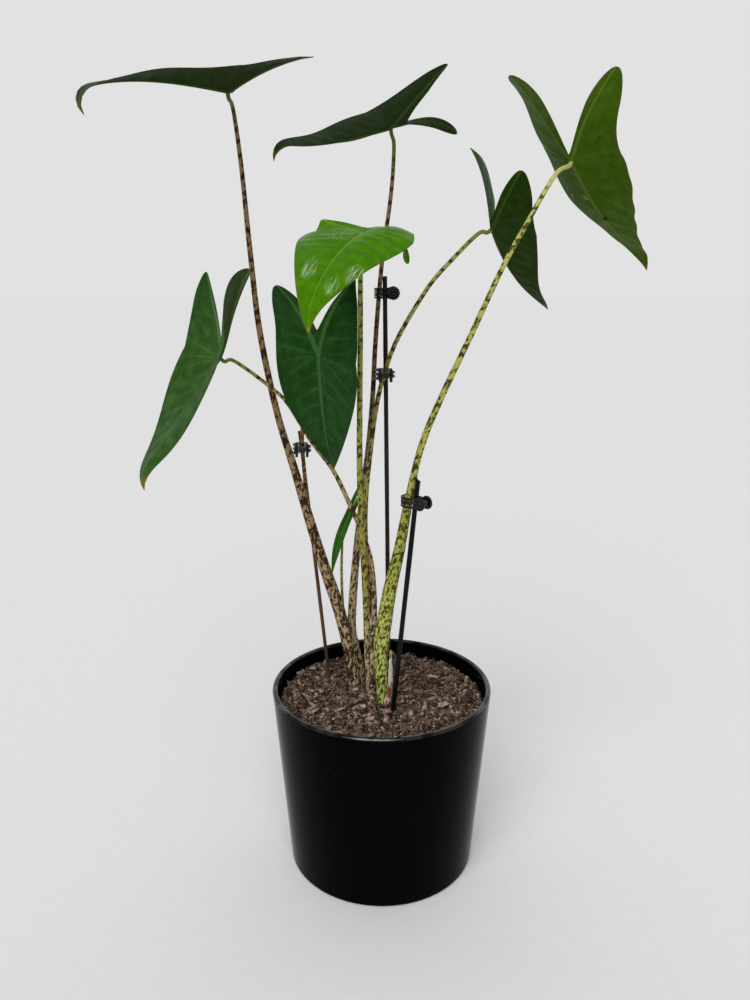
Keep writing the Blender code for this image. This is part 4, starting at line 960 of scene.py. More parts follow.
def leaf_finish(name, length, top, under, tip_tone, shine, dull, vein_width=0.55, dust=0.0, edge_tone=None,
                tip_reach=14.0, sheen=0.04, vein_share=0.6, painted_gleam=(), marks=()):
    """Leaf skin from the blade's own map: veins, puckered fields, a fine net, a dry tip and dust. Top and
    under each give a side's ground tone, its lighter tone and its veins' tone."""
    leaf = Finish(name, seen(*top[0]), shine[0], Specular_IOR_Level=sheen)
    top_ground, top_light, top_vein = (seen(*tone) for tone in top)
    under_ground, under_light, under_vein = (seen(*tone) for tone in under)
    spot = leaf.grown("blade", "Vector")
    u, v, past = leaf.parts(spot)
    phase, size, margin = leaf.parts(leaf.grown("vein", "Vector"))
    upper = leaf.ease(leaf.grown("upper"), 0.4, 0.6)

    broad = leaf.noise(spot, 0.035, 3.0)
    cloud = leaf.noise(spot, 0.12, 4.0, 0.3)
    fine = leaf.noise(spot, 0.9, 5.0, 0.0, 0.6)
    wander = leaf.centred(leaf.noise(spot, 0.09, 2.0), 0.2)

    behind = leaf.times(leaf.math("MAXIMUM", leaf.times(u, -1), 0), 1.5)
    ahead = leaf.times(leaf.math("MAXIMUM", u, 0), 1.5)
    rib = leaf.plus(leaf.math("ABSOLUTE", v), behind)
    lobe = leaf.plus(leaf.math("ABSOLUTE", past), ahead)
    reach = leaf.ease(leaf.math("ABSOLUTE", u), 0, length, 1.0, 0.3)
    main = leaf.math("DIVIDE", leaf.math("MINIMUM", rib, lobe), reach)
    main_vein = leaf.ease(main, vein_width, vein_width * 3.2, 1.0, 0.0)
    step = leaf.math("PINGPONG", leaf.plus(phase, wander), 0.5)
    side_vein = leaf.ease(leaf.times(step, size), vein_width * 0.25, vein_width * 1.8, 1.0, 0.0)
    side_vein = leaf.times(side_vein, leaf.ease(margin, 1.0, 9.0))
    thin_out = leaf.ease(margin, 2.0, 30.0, 0.45, 1.0)
    fading = leaf.ease(leaf.noise(spot, 0.06, 2.0), 0.32, 0.62, 0.35, 1.0)
    side_vein = leaf.times(leaf.times(side_vein, thin_out), fading)
    net = leaf.add("TexVoronoi", "Distance", {"feature": "DISTANCE_TO_EDGE", "voronoi_dimensions": "2D"},
                   Vector=leaf.bent(spot, 0.25, (2.4, 2.4, 0)), Scale=0.34)
    net_line = leaf.ease(net, 0.0, 0.14, 1.0, 0.0)

    face = leaf.mix(leaf.ease(cloud, 0.3, 0.75), top_ground, top_light)
    face = leaf.mix(leaf.ease(step, 0.12, 0.5, 0.0, 0.35), face, top_ground)
    face = leaf.mix(leaf.times(net_line, 0.1), face, top_vein)
    lines = leaf.math("MAXIMUM", main_vein, leaf.times(side_vein, vein_share))
    face = leaf.mix(leaf.times(lines, 0.85), face, top_vein)
    back = leaf.mix(leaf.ease(cloud, 0.3, 0.75), under_ground, under_light)
    back = leaf.mix(leaf.times(net_line, 0.16), back, under_vein)
    lines = leaf.math("MAXIMUM", main_vein, leaf.times(side_vein, 0.34))
    back = leaf.mix(leaf.times(lines, 0.8), back, under_vein)
    skin = leaf.mix(upper, back, face)
    if edge_tone:
        rim = leaf.times(leaf.ease(margin, 0.05, 0.6, 1.0, 0.0), 0.8)
        skin = leaf.mix(rim, skin, seen(*edge_tone))
    to_tip = leaf.plus(leaf.minus(length, u), leaf.centred(cloud, tip_reach))
    skin = leaf.mix(leaf.ease(to_tip, tip_reach * 0.25, tip_reach, 1.0, 0.0), skin, seen(*tip_tone))
    if dust:
        grit = leaf.ease(leaf.noise(spot, 1.5, 3.0, 0.0, 0.7), 0.6, 0.72)
        patch = leaf.ease(leaf.noise(spot, 0.05, 2.0), 0.42, 0.65)
        specks = leaf.times(grit, leaf.times(patch, dust))
        skin = leaf.mix(leaf.times(specks, upper), skin, seen(*DUST_TONE))
    # Painted highlights: near-white patches mixed into the colour where the quilted upper side would shine.
    if painted_gleam:
        skin = paint_highlights(leaf, skin, spot, u, v, upper, painted_gleam)
    leaf.colour(scarred(leaf, skin, u, v, fine, marks))

    rough = leaf.ease(broad, 0.3, 0.7, *shine)
    rough_under = leaf.ease(broad, 0.3, 0.7, *dull)
    rough = leaf.plus(rough_under, leaf.times(leaf.minus(rough, rough_under), upper))
    leaf.gloss(leaf.plus(rough, leaf.centred(fine, 0.12)))
    relief_way = leaf.minus(1.0, leaf.times(upper, 2.0))
    lines = leaf.plus(leaf.math("MAXIMUM", main_vein, side_vein), leaf.times(net_line, 0.12))
    leaf.relief((leaf.times(lines, relief_way), 0.35, 0.7), (cloud, 0.5, 0.35), (fine, 0.06, 0.35))
    return leaf


LEAF_LOOKS = {
    "upper_left": dict(top=((40, 64, 30), (54, 80, 40), (86, 106, 60)),
                       under=((29, 45, 12), (40, 58, 18), (58, 80, 36)),
                       tip_tone=(104, 82, 40), shine=(0.38, 0.5), dull=(0.4, 0.55)),
    "upper_middle": dict(top=((46, 76, 26), (60, 94, 32), (94, 118, 60)),
                         under=((26, 44, 9), (37, 60, 14), (60, 84, 34)),
                         tip_tone=(112, 92, 44), shine=(0.36, 0.5), dull=(0.4, 0.55)),
    "young": dict(top=((62, 116, 2), (78, 134, 4), (116, 162, 40)),
                  under=((60, 104, 16), (78, 122, 24), (112, 142, 60)),
                  tip_tone=(170, 146, 30), shine=(0.2, 0.3), dull=(0.35, 0.5),
                  vein_width=0.36, edge_tone=(112, 88, 58), tip_reach=4.0, sheen=0.015, vein_share=0.26,
                  # Painted highlight patches on the quilted upper side.
                  painted_gleam=((80, 9, 17, 6, 0.5), (74, -18, 15, 7, 0.55), (92, -8, 12, 5, 0.45),
                         (14, 16, 14, 16, 0.16))),
    "left": dict(top=((42, 74, 25), (60, 98, 44), (88, 120, 66)),
                 under=((54, 74, 32), (66, 84, 44), (88, 104, 62)),
                 tip_tone=(130, 98, 40), shine=(0.34, 0.46), dull=(0.42, 0.58)),
    "front": dict(top=((26, 62, 18), (34, 80, 30), (66, 108, 50)),
                  under=((54, 80, 34), (68, 92, 44), (92, 110, 66)),
                  tip_tone=(150, 66, 30), shine=(0.36, 0.48), dull=(0.42, 0.58),
                  vein_width=0.95, dust=0.5, tip_reach=5.0, vein_share=0.4),
    "right": dict(top=((36, 72, 24), (48, 86, 32), (80, 112, 58)),
                  under=((30, 52, 8), (40, 64, 12), (60, 84, 30)),
                  tip_tone=(110, 92, 48), shine=(0.34, 0.46), dull=(0.46, 0.62), sheen=0.02),
    "upper_right": dict(top=((40, 82, 24), (52, 96, 32), (88, 120, 60)),
                        under=((58, 86, 8), (72, 102, 18), (96, 122, 42)),
                        tip_tone=(120, 92, 44), shine=(0.34, 0.46), dull=(0.42, 0.56),
                        edge_tone=(88, 72, 36), tip_reach=6.0, sheen=0.03,
                        marks=((64.5, 1.5, 2.6, 0, (74, 58, 22)), (64.0, 1.2, 1.2, 0, (24, 18, 10)),
                               (40.5, -5.5, 2.3, 0.55, (150, 146, 96)),
                               (30.5, -39.6, 2.4, 0, (172, 168, 110)),
                               (43.5, -24.5, 0.9, 0, (196, 198, 160)),
                               (47.5, -27.0, 0.8, 0, PALE_SCAR), (38.0, -27.5, 0.7, 0, PALE_SCAR))),
    "new": dict(top=((36, 76, 18), (54, 100, 26), (72, 116, 38)),
                under=((50, 88, 24), (64, 104, 34), (84, 120, 46)),
                tip_tone=(104, 98, 36), shine=(0.3, 0.4), dull=(0.35, 0.5),
                vein_width=0.3, tip_reach=4.0),
}
for leaf_name, leaf_shape in LEAVES.items():
    leaf_look = leaf_finish(f"leaf_{leaf_name}_skin", leaf_shape["length"], **LEAF_LOOKS[leaf_name])
    blade_piece(leaf_name, leaf_shape, leaf_look)


# Stems: eight fleshy round stalks, each grown in one with its leaf and standing in the mix on the corm.
# They are pale tan or yellow-green under irregular dark zebra bands, plain near the blade and finely
# mottled at the foot.
CORM_CENTRE = (-12.0, 6.5, 121.0)
CORM_HALF_SIZES = (37.0, 17.0, 13.0)
CORM_TURN = -63.4
FOOT_GAP = 0.3
FIRST_LEG = 4.5             # length over which a stem leaves its blade squarely
STRAIGHT_BELOW = 160.0
ROUTE_CUTS = 12             # points worked out between two points of a route
STEM_SIDES = 22
STEM_STEP = 1.6
DOME_ANGLES = (80, 50, 25)  # rings of the small dome that closes a rounded end
FLECK_SLANT = 0.5
STEM_SHINE = 0.42
MAROON = (44, 20, 14)
DARK_MAROON = (34, 14, 10)
OLIVE = (62, 62, 10)
DARK_OLIVE = (48, 40, 12)
MOSS = (84, 84, 24)
UMBER = (56, 34, 16)

# Each stem runs from its blade through its via points down to its foot, given in plan. Its four radii are
# those at the blade, half way down, at the share of its height where it starts to swell, and at its foot.
STEMS = {
    "upper_left": {
        "via": [(-112.0, 11.0, 628), (-108.0, 13, 590), (-103.9, 15, 528), (-98.8, 17, 466),
                (-87.2, 18, 401), (-73.4, 18.5, 350), (-54.3, 18, 280), (-37.5, 17.5, 225),
                (-28.0, 17.2, 182)],
        "foot": (-25.0, 17.0), "radii": (1.5, 2.9, 5.3, 5.3), "swell_at": 0.78,
    },
    "upper_middle": {
        "via": [(8.5, 8.0, 602), (6.5, 10, 569), (-0.5, 15, 517), (-5.3, 21.8, 458),
                (-7.9, 23.3, 409), (-11.7, 23, 367), (-17.9, 23, 314), (-23.3, 23, 260), (-26.0, 24.0, 222),
                (-26.1, 25.5, 202), (-22.0, 25.5, 178)],
        "foot": (-19.3, 25.0), "radii": (1.4, 2.2, 3.7, 3.8), "swell_at": 0.78,
    },
    "young": {
        "via": [(-16.4, -38.0, 507), (-16.8, -32.5, 461), (-17.6, -23.5, 415), (-18.0, -16, 359),
                (-16.5, -13, 307), (-14.5, -11, 272), (-13.0, -8, 235), (-12.0, -5, 197)],
        "foot": (-10.0, -3.5), "radii": (1.7, 2.5, 3.2, 3.9), "swell_at": 0.88,
    },
    "left": {
        "via": [(-119.0, -2.0, 444), (-107.0, 0, 436), (-92.0, 6, 423), (-78.0, 14, 408),
                (-60.0, 20.5, 376), (-41.5, 21, 350), (-28.5, 10, 326), (-17.5, 0, 303),
                (-9.5, -4, 278), (-6.5, -10, 244), (-7.5, -12, 200)],
        "foot": (-8.5, -12.6), "radii": (1.4, 2.1, 3.0, 3.6), "swell_at": 0.88,
    },
    "front": {
        "via": [(-57.0, 14.0, 424), (-64.0, 22.0, 402), (-67.0, 24, 378), (-66.0, 25, 349),
                (-63.0, 26.5, 313), (-54.0, 29, 271), (-41.5, 31.5, 227), (-35.0, 33, 203),
                (-30.0, 33.5, 178)],
        "foot": (-27.0, 33.0), "radii": (1.4, 1.9, 2.8, 3.4), "swell_at": 0.88,
    },
    "right": {
        "via": [(75.0, 20, 540), (53.5, 18, 519), (36.0, 15, 499),
                (13.5, 12.5, 462), (2.5, 12.0, 434),
                (-5.2, 10.5, 402), (-11.4, 8.5, 352), (-13.6, 7, 327), (-14.2, 5.5, 300), (-12.5, 3.5, 268),
                (-8.0, 2, 232), (-3.5, 0.5, 195)],
        "foot": (-1.5, -1.0), "radii": (1.6, 2.1, 3.0, 3.7), "swell_at": 0.88,
    },
    "upper_right": {
        "via": [(127.0, -13.0, 580), (108.0, -22, 549), (89.5, -21, 514), (67.3, -17, 463),
                (44.8, -15.5, 413), (30.2, -15, 374), (20.7, -14.6, 328), (14.2, -15.3, 291),
                (6.6, -18, 257), (1.5, -19.3, 225), (-0.7, -19, 202), (0.3, -15.8, 172)],
        "foot": (0.3, -14.5), "radii": (1.6, 2.8, 6.6, 4.9), "swell_at": 0.8,
    },
    "new": {
        "via": [(-33.3, 19.2, 296), (-34.2, 19.3, 282), (-34.9, 19.3, 262), (-34.6, 21.0, 236),
                (-33.8, 23.9, 218), (-32.5, 25.2, 203)],
        "foot": (-29.5, 25.8), "radii": (1.0, 1.3, 1.5, 1.6), "swell_at": 0.88,
    },
}


def corm_top(x, y, foot_radius):
    """Greatest height of the corm's upper side under a stem's foot at (x, y)."""
    turn = math.radians(CORM_TURN)
    dx, dy = x - CORM_CENTRE[0], y - CORM_CENTRE[1]
    inward = max(0.0, 1 - foot_radius / max(math.hypot(dx, dy), 0.001))
    dx, dy = dx * inward, dy * inward
    lengthwise = dx * math.cos(turn) + dy * math.sin(turn)
    crosswise = dy * math.cos(turn) - dx * math.sin(turn)
    rest = 1 - (lengthwise / CORM_HALF_SIZES[0]) ** 2 - (crosswise / CORM_HALF_SIZES[1]) ** 2
    return CORM_CENTRE[2] + CORM_HALF_SIZES[2] * math.sqrt(max(rest, 0.0))


def smooth_route(route, step):
    """Points about a step apart along a smooth curve through the route's own points."""
    route = [np.array(p, float) for p in route]
    ends = [2 * route[0] - route[1], *route, 2 * route[-1] - route[-2]]
    fine = []
    for a, b, c, d in zip(ends, ends[1:], ends[2:], ends[3:]):
        for i in range(ROUTE_CUTS):
            t = i / ROUTE_CUTS
            fine.append(0.5 * (2 * b + (c - a) * t + (2 * a - 5 * b + 4 * c - d) * t**2
                               + (3 * b - 3 * c + d - a) * t**3))
    fine.append(route[-1])
    fine = np.array(fine)
    length = np.concatenate([[0], np.cumsum(np.linalg.norm(np.diff(fine, axis=0), axis=1))])
    even = np.linspace(0, length[-1], int(length[-1] / step) + 2)
    return np.stack([np.interp(even, length, fine[:, k]) for k in range(3)], axis=1)


def stem_points(name):
    """Points along a stem, from its blade to just above the corm."""
    stem = STEMS[name]
    joint = np.array(LEAVES[name]["joint"])
    up = start_frame(LEAVES[name])[1]
    x, y = stem["foot"]
    foot_points = [(x, y, STRAIGHT_BELOW), (x, y, corm_top(x, y, stem["radii"][3]) + FOOT_GAP)]
    return smooth_route([joint, joint - up * FIRST_LEG, *stem["via"], *foot_points], STEM_STEP)


def stem_radii(name, points):
    """Radius at each point: thin below the blade, swelling into the sheath near the foot."""
    height = points[0][2] - points[-1][2]
    share = np.clip((points[0][2] - points[:, 2]) / height, 0, 1)
    return np.interp(share, [0.0, 0.5, STEMS[name]["swell_at"], 1.0], STEMS[name]["radii"])


def ring_faces(rings, sides):
    """Faces over a row of rings of points, with a flat face at each end."""
    faces = []
    for ring in range(rings - 1):
        low, high = ring * sides, (ring + 1) * sides
        for k in range(sides):
            after = (k + 1) % sides
            faces.append((low + k, low + after, high + after, high + k))
    faces.append(tuple(range(sides))[::-1])
    faces.append(tuple(range((rings - 1) * sides, rings * sides)))
    return faces


def domed(points, radii):
    """A line of points and radii with each end replaced by the rings of a small dome."""
    start, end = points[0] - points[1], points[-1] - points[-2]
    start, end = start / np.linalg.norm(start), end / np.linalg.norm(end)
    turns = np.radians(DOME_ANGLES)
    head = [points[0] + start * radii[0] * (math.sin(a) - 1) for a in turns]
    tail = [points[-1] + end * radii[-1] * (math.sin(a) - 1) for a in turns[::-1]]
    radii = np.concatenate([radii[0] * np.cos(turns), radii[1:-1], radii[-1] * np.cos(turns[::-1])])
    return np.array([*head, *points[1:-1], *tail]), radii


def tube_mesh(points, radii, sides, rounded=False):
    """Points, faces and (across, across, along) places of a tube along a line, closed at both ends."""
    points, radii = np.asarray(points, float), np.asarray(radii, float)
    if rounded:
        points, radii = domed(points, radii)
    steps = np.diff(points, axis=0)
    travelled = np.concatenate([[0], np.cumsum(np.linalg.norm(steps, axis=1))])
    heading = np.gradient(points, axis=0)
    heading /= np.linalg.norm(heading, axis=1)[:, None]
    across = np.cross(heading[0], (0.0, 1.0, 0.0))
    if np.linalg.norm(across) < 0.1:
        across = np.cross(heading[0], (1.0, 0.0, 0.0))
    spots, places = [], []
    for point, ahead, radius, run in zip(points, heading, radii, travelled):
        across = across - ahead * np.dot(across, ahead)
        across /= np.linalg.norm(across)
        side = np.cross(ahead, across)
        for k in range(sides):
            a = 2 * math.pi * k / sides
            spots.append(point + (across * math.cos(a) + side * math.sin(a)) * radius)
            places.append((math.cos(a) * radius, math.sin(a) * radius, run))
    return spots, ring_faces(len(points), sides), places


def stem_finish(name, plain, upper, ground, foot_tone, band, second, share=(0.5, 0.5), plain_to=30.0,
                size=1.0, gather=(0.9, 0.2)):
    """Dark flecks drawn out along the stem and slanting, crowded into ragged bands and finer at the foot."""
    stem = Finish(name, seen(*ground), STEM_SHINE, Specular_IOR_Level=0.07)
    place = stem.grown("round", "Vector")
    x, y, run = stem.parts(place)
    down = stem.grown("down")
    sheared = stem.tree.nodes.new("ShaderNodeCombineXYZ")
    slanted = stem.plus(run, stem.times(x, FLECK_SLANT))
    for at, value in enumerate((x, y, slanted)):
        socket_of(sheared.inputs[at], value)
    sheared = sheared.outputs[0]
    flecks = stem.noise(sheared, (0.5 / size, 0.5 / size, 0.26 / size), 3.0, 0.4, 0.5)
    bands = stem.noise(sheared, (0.1 / size, 0.1 / size, 0.16 / size), 2.0, 0.4)
    dots = stem.noise(place, (1.1 / size, 1.1 / size, 0.6 / size), 2.0, 0.3)
    crowding = stem.ease(down, 0.3, 0.85, *gather)
    blotch = stem.plus(flecks, stem.centred(bands, crowding))
    blotch = stem.plus(blotch, stem.centred(dots, 0.35))
    level = stem.ease(down, 0.15, 0.95, 1 - share[0], 1 - share[1])
    over = stem.minus(blotch, level)
    away = stem.ease(run, plain_to * 0.35, plain_to)
    dark = stem.times(stem.ease(over, -0.01, 0.05), away)
    fringe = stem.times(stem.ease(over, -0.09, 0.0, 0.0, 0.4), away)
    tone = stem.mix(stem.ease(down, 0.32, 0.72), seen(*upper), seen(*ground))
    tone = stem.mix(stem.ease(run, plain_to * 0.3, plain_to * 1.6), seen(*plain), tone)
    tone = stem.mix(stem.ease(down, 0.68, 0.92), tone, seen(*foot_tone))
    soft = stem.noise(place, (0.2, 0.2, 0.05), 3.0)
    tone = stem.mix(stem.ease(soft, 0.35, 0.75, 0.0, 0.35), tone, tuple(c * 0.62 for c in seen(*ground)))
    patches = stem.noise(place, (0.15, 0.15, 0.08), 2.0)
    marking = stem.mix(stem.ease(patches, 0.42, 0.6), seen(*band), seen(*second))
    tone = stem.mix(fringe, tone, marking)
    stem.colour(stem.mix(stem.times(dark, 0.92), tone, marking))
    stem.gloss(stem.ease(soft, 0.3, 0.7, STEM_SHINE - 0.06, STEM_SHINE + 0.08))
    lengthwise = stem.noise(place, (1.6, 1.6, 0.05), 2.0)
    stem.relief((lengthwise, 0.25, 0.3), (dark, 0.06, 0.3), (dots, 0.1, 0.2))
    return stem


STEM_LOOKS = {
    "upper_left": dict(plain=(84, 96, 34), upper=(126, 100, 66), ground=(166, 140, 104),
                       foot_tone=(186, 164, 128), band=MAROON, second=DARK_MAROON, share=(0.49, 0.54),
                       size=1.05, gather=(1.2, 0.35)),
    "upper_middle": dict(plain=(96, 106, 40), upper=(126, 104, 68), ground=(170, 150, 112),
                         foot_tone=(188, 172, 134), band=MAROON, second=UMBER, share=(0.5, 0.46)),
    "young": dict(plain=(150, 160, 66), upper=(150, 154, 66), ground=(152, 148, 70),
                  foot_tone=(206, 194, 152), band=OLIVE, second=UMBER, share=(0.46, 0.49), plain_to=40.0),
    "left": dict(plain=(104, 122, 40), upper=(164, 154, 84), ground=(166, 142, 110),
                 foot_tone=(204, 188, 156), band=MAROON, second=UMBER, share=(0.46, 0.52), plain_to=46.0),
    "front": dict(plain=(110, 120, 46), upper=(140, 118, 80), ground=(154, 128, 94),
                  foot_tone=(180, 158, 120), band=UMBER, second=MAROON, share=(0.48, 0.54), size=0.8),
    "right": dict(plain=(120, 130, 52), upper=(158, 154, 78), ground=(162, 148, 92),
                  foot_tone=(186, 174, 122), band=UMBER, second=MAROON, share=(0.48, 0.53)),
    "upper_right": dict(plain=(196, 198, 118), upper=(186, 186, 100), ground=(172, 174, 84),
                        foot_tone=(204, 212, 112), band=OLIVE, second=DARK_OLIVE, plain_to=52.0),
    "new": dict(plain=(140, 158, 60), upper=(148, 152, 50), ground=(148, 152, 50),
                foot_tone=(156, 160, 80), band=MOSS, second=OLIVE, share=(0.45, 0.48), size=0.55),
}
for stem_name, look in STEM_LOOKS.items():
    line = stem_points(stem_name)
    skin_look = stem_finish(f"stem_{stem_name}_skin", **look)
    spots, faces, places = tube_mesh(line, stem_radii(stem_name, line), STEM_SIDES)
    places = np.array(places)
    reach_down = places[:, 2] / places[:, 2].max()
    shown = piece("banded_stem_" + stem_name, spots, faces, skin_look, {"round": places, "down": reach_down})
    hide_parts("stem_" + stem_name)


# Dried leaf base: a papery pinkish husk, the dead sheath of an old leaf, blotched red-brown. It hugs the
# right side of the widest stem, with its foot in the mix and a torn point above.
SHEATH_BURIED = 7.0
SHEATH_RISE = 54.0
SHEATH_THICKNESS = 0.6
SHEATH_ROWS = 90
SHEATH_COLUMNS = 44
SHEATH_CLEAR = 1.4          # how far it stands off the stem at its ends
SHEATH_BELLY = 1.6          # how much further it stands off half way up
SHEATH_FACING = -12.0       # the way its middle faces, about Z
SHEATH_SPREAD = 68.0        # how far it reaches round the stem to each side, at its foot
SHEATH_POINT = 3.0          # and at its torn point
SHEATH_FLARE = 0.8


def at_height(rows, height):
    """The row that a line of rows (x, y, z and more) would have at a height."""
    rows = rows[np.argsort(rows[:, 2])]
    return np.array([np.interp(height, rows[:, 2], column) for column in rows.T])


def stem_rows(name):
    """A stem's points with its radius at each."""
    points = stem_points(name)
    return np.column_stack([points, stem_radii(name, points)])


def husk_mesh():
    """Points, faces and (across, up) places of the husk, a creased sheet with an outer and an inner face."""
    rows = stem_rows("upper_right")
    low, high = SOIL_TOP - SHEATH_BURIED, SOIL_TOP + SHEATH_RISE
    inner_face, outer_face, places = [], [], []
    for i in range(SHEATH_ROWS + 1):
        share = i / SHEATH_ROWS
        height = low + (high - low) * share
        x, y, _, radius = at_height(rows, height)
        radius += SHEATH_CLEAR + SHEATH_BELLY * math.sin(math.pi * share)
        spread = SHEATH_SPREAD * (1 - share) ** 0.6 + SHEATH_POINT
        for j in range(SHEATH_COLUMNS + 1):
            across = 2 * j / SHEATH_COLUMNS - 1
            torn = 1 + 0.05 * math.sin(9 * share + 3 * (across > 0)) + 0.03 * math.sin(31 * share)
            angle = math.radians(SHEATH_FACING + spread * across * torn)
            crease = 0.16 * math.sin(38 * angle + 3 * math.sin(7 * share))
            crease += 0.1 * math.sin(26 * share + 5 * across)
            out = radius + SHEATH_FLARE * abs(across) * share + crease
            for face, shift in ((outer_face, SHEATH_THICKNESS / 2), (inner_face, -SHEATH_THICKNESS / 2)):
                reach = out + shift
                face.append((x + reach * math.cos(angle), y + reach * math.sin(angle), height))
            places.append((across * 6, share * 60, 0))
    wide, count = SHEATH_COLUMNS + 1, len(outer_face)
    faces = []
    for i in range(SHEATH_ROWS):
        for j in range(SHEATH_COLUMNS):
            a, b, c, d = i * wide + j, i * wide + j + 1, (i + 1) * wide + j + 1, (i + 1) * wide + j
            faces += [(a, b, c, d), (d + count, c + count, b + count, a + count)]
    ring = list(range(wide))
    ring += [i * wide + wide - 1 for i in range(1, SHEATH_ROWS + 1)]
    ring += [SHEATH_ROWS * wide + j for j in range(wide - 2, -1, -1)]
    ring += [i * wide for i in range(SHEATH_ROWS - 1, 0, -1)]
    for a, b in zip(ring, ring[1:] + ring[:1]):
        faces.append((b, a, a + count, b + count))
    return outer_face + inner_face, faces, places + places


husk = Finish("dried_husk", seen(205, 170, 150), 0.7, Specular_IOR_Level=0.25)
husk_place = husk.grown("sheet", "Vector")
blotches = husk.noise(husk_place, (0.35, 0.14, 1.0), 4.0, 0.6, 0.6)
streaks = husk.noise(husk_place, (3.0, 0.12, 1.0), 3.0)
# The near-white tones are partly the husk's pale papery colour and partly a painted highlight.
husk_tone_and_highlight = husk.mix(husk.ease(streaks, 0.35, 0.7), seen(255, 252, 246), seen(246, 226, 210))
rise = husk.parts(husk_place)[1]
# Less red-brown between 36 and 48 mm up, so the middle stays pale: a painted highlight band.
rusty = husk.plus(blotches, husk.ease(rise, 26.0, 36.0, 0.11, -0.03))
rusty = husk.plus(rusty, husk.ease(rise, 48.0, 58.0, 0.0, 0.14))
husk_tone_and_highlight = husk.mix(husk.ease(rusty, 0.54, 0.62), husk_tone_and_highlight, seen(168, 98, 64))
husk_tone_and_highlight = husk.mix(husk.ease(blotches, 0.6, 0.66), husk_tone_and_highlight, seen(96, 48, 36))
husk.colour(husk_tone_and_highlight)
husk.gloss(husk.ease(streaks, 0.3, 0.7, 0.6, 0.85))
husk.relief((streaks, 0.5, 0.5), (blotches, 0.3, 0.3))
husk_spots, husk_faces, husk_places = husk_mesh()
husk_piece = piece("papery_husk", husk_spots, husk_faces, husk, {"sheet": husk_places})
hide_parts("dried_sheath")


# Plant stakes: a tall dark cane behind the bundle, a black one cut slanting at its top in front of the
# widest stem, and a thin brown one on the left. They are pushed down through the mix.
STAKES = {                  # top, foot and radius of each
    "stake_tall": ((2.0, 20.0, 508.0), (8.2, 25.0, 40.0), 1.9),
    "stake_front": ((28.8, -19.3, 353.0), (0.9, -34.0, 65.0), 2.1),
    "stake_left": ((-69.8, 33.0, 381.0), (-40.2, 29.0, 75.0), 1.6),
}
STAKE_SIDES = 20
STAKE_STEP = 3              # about how far apart the rings of a stake are
CUT_SLOPE = 1.1             # how steeply the front stake's top slopes down to the right
CUT_DROP = 2.2              # how far the middle of the cut lies below the stake's top


def stake_finish(name, dark, light, shine):
    """Cane with a fine grain along it, lighter in long patches."""
    cane = Finish(name, seen(*dark), shine, Specular_IOR_Level=0.15)
    place = cane.grown("round", "Vector")
    grain = cane.noise(place, (0.9, 0.9, 0.03), 3.0)
    patch = cane.noise(place, (0.2, 0.2, 0.04), 2.0)
    lightness = cane.times(cane.ease(grain, 0.4, 0.7), cane.ease(patch, 0.3, 0.7, 0.3, 1.0))
    cane.colour(cane.mix(lightness, seen(*dark), seen(*light)))
    cane.gloss(cane.ease(patch, 0.3, 0.7, shine - 0.08, shine + 0.1))
    cane.relief((grain, 0.35, 0.5))
    return cane


STAKE_LOOKS = {
    "stake_tall": stake_finish("dark_cane", (30, 20, 16), (64, 48, 40), 0.5),
    "stake_front": stake_finish("black_cane", (6, 6, 6), (20, 18, 18), 0.4),
    "stake_left": stake_finish("brown_cane", (72, 50, 34), (112, 84, 60), 0.6),
}
for stake_name, (stake_top, stake_foot, stake_radius) in STAKES.items():
    top_at, foot_at = np.array(stake_top), np.array(stake_foot)
    count = int(np.linalg.norm(top_at - foot_at) / STAKE_STEP)
    line = np.array([top_at + (foot_at - top_at) * k / count for k in range(count + 1)])
    uneven = [1 - 0.03 * math.sin(0.21 * k) - 0.02 * abs(math.sin(0.53 * k)) for k in range(count + 1)]
    spots, faces, places = tube_mesh(line, stake_radius * np.array(uneven), STAKE_SIDES)
    spots = np.array(spots)
    if stake_name == "stake_front":
        for k in range(STAKE_SIDES):
            spots[k][2] -= (spots[k][0] - top_at[0]) * CUT_SLOPE + CUT_DROP
    shown = piece(stake_name + "_cane", spots, faces, STAKE_LOOKS[stake_name], {"round": places})
    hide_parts(stake_name)


# Claw clips: four glossy black plastic hair claws. Each has two jaws with fluted round grips, a raised
# button and curved tines, and a coil spring between the grips; closed, it holds one stem to one stake.
DISC_RADIUS = 5.6
DISC_THICKNESS = 2.2
DISC_FLUTES = 17
FLUTE_DEPTH = 0.7
FLUTE_STEPS = 8
BUTTON_RADIUS = 1.9
DISC_STANDS_OFF = 3.1       # from the tines' circle to the discs' centres
JAW_SPREAD = 4.4            # from the clip's middle plane to each disc's middle
TINE_RADIUS = 0.6
TINE_ROOT_RADII = (1.7, 1.65)       # where a tine leaves its disc and starts to bend, in tine radii
TINE_END_RADIUS = 0.64
TINE_ROOT_AT = 1.5          # from the disc's middle to where its tines start
TINE_SPACING = 3.4
TINE_START = 132.0          # angles round the clip's middle, 180 at the discs
TINE_END = -45.0
TINE_STEPS = 24
TINE_SIDES = 12
TINE_GAP = 0.3
SPRING_RADIUS = 2.3
SPRING_WIRE = 0.3
SPRING_TURNS = 6
SPRING_STEPS = 16           # points to a turn
SPRING_SIDES = 8
CLIPS = {                   # the stem and the stake it holds, its height, and the way its grips point
    "clip_top": ("upper_middle", "stake_tall", 495.0, 0.0),
    "clip_middle": ("right", "stake_tall", 431.0, -88.0),
    "clip_right": ("upper_right", "stake_front", 333.0, -46.0),
    "clip_left": ("front", "stake_left", 367.0, -86.0),
}
UP = np.array([0.0, 0.0, 1.0])

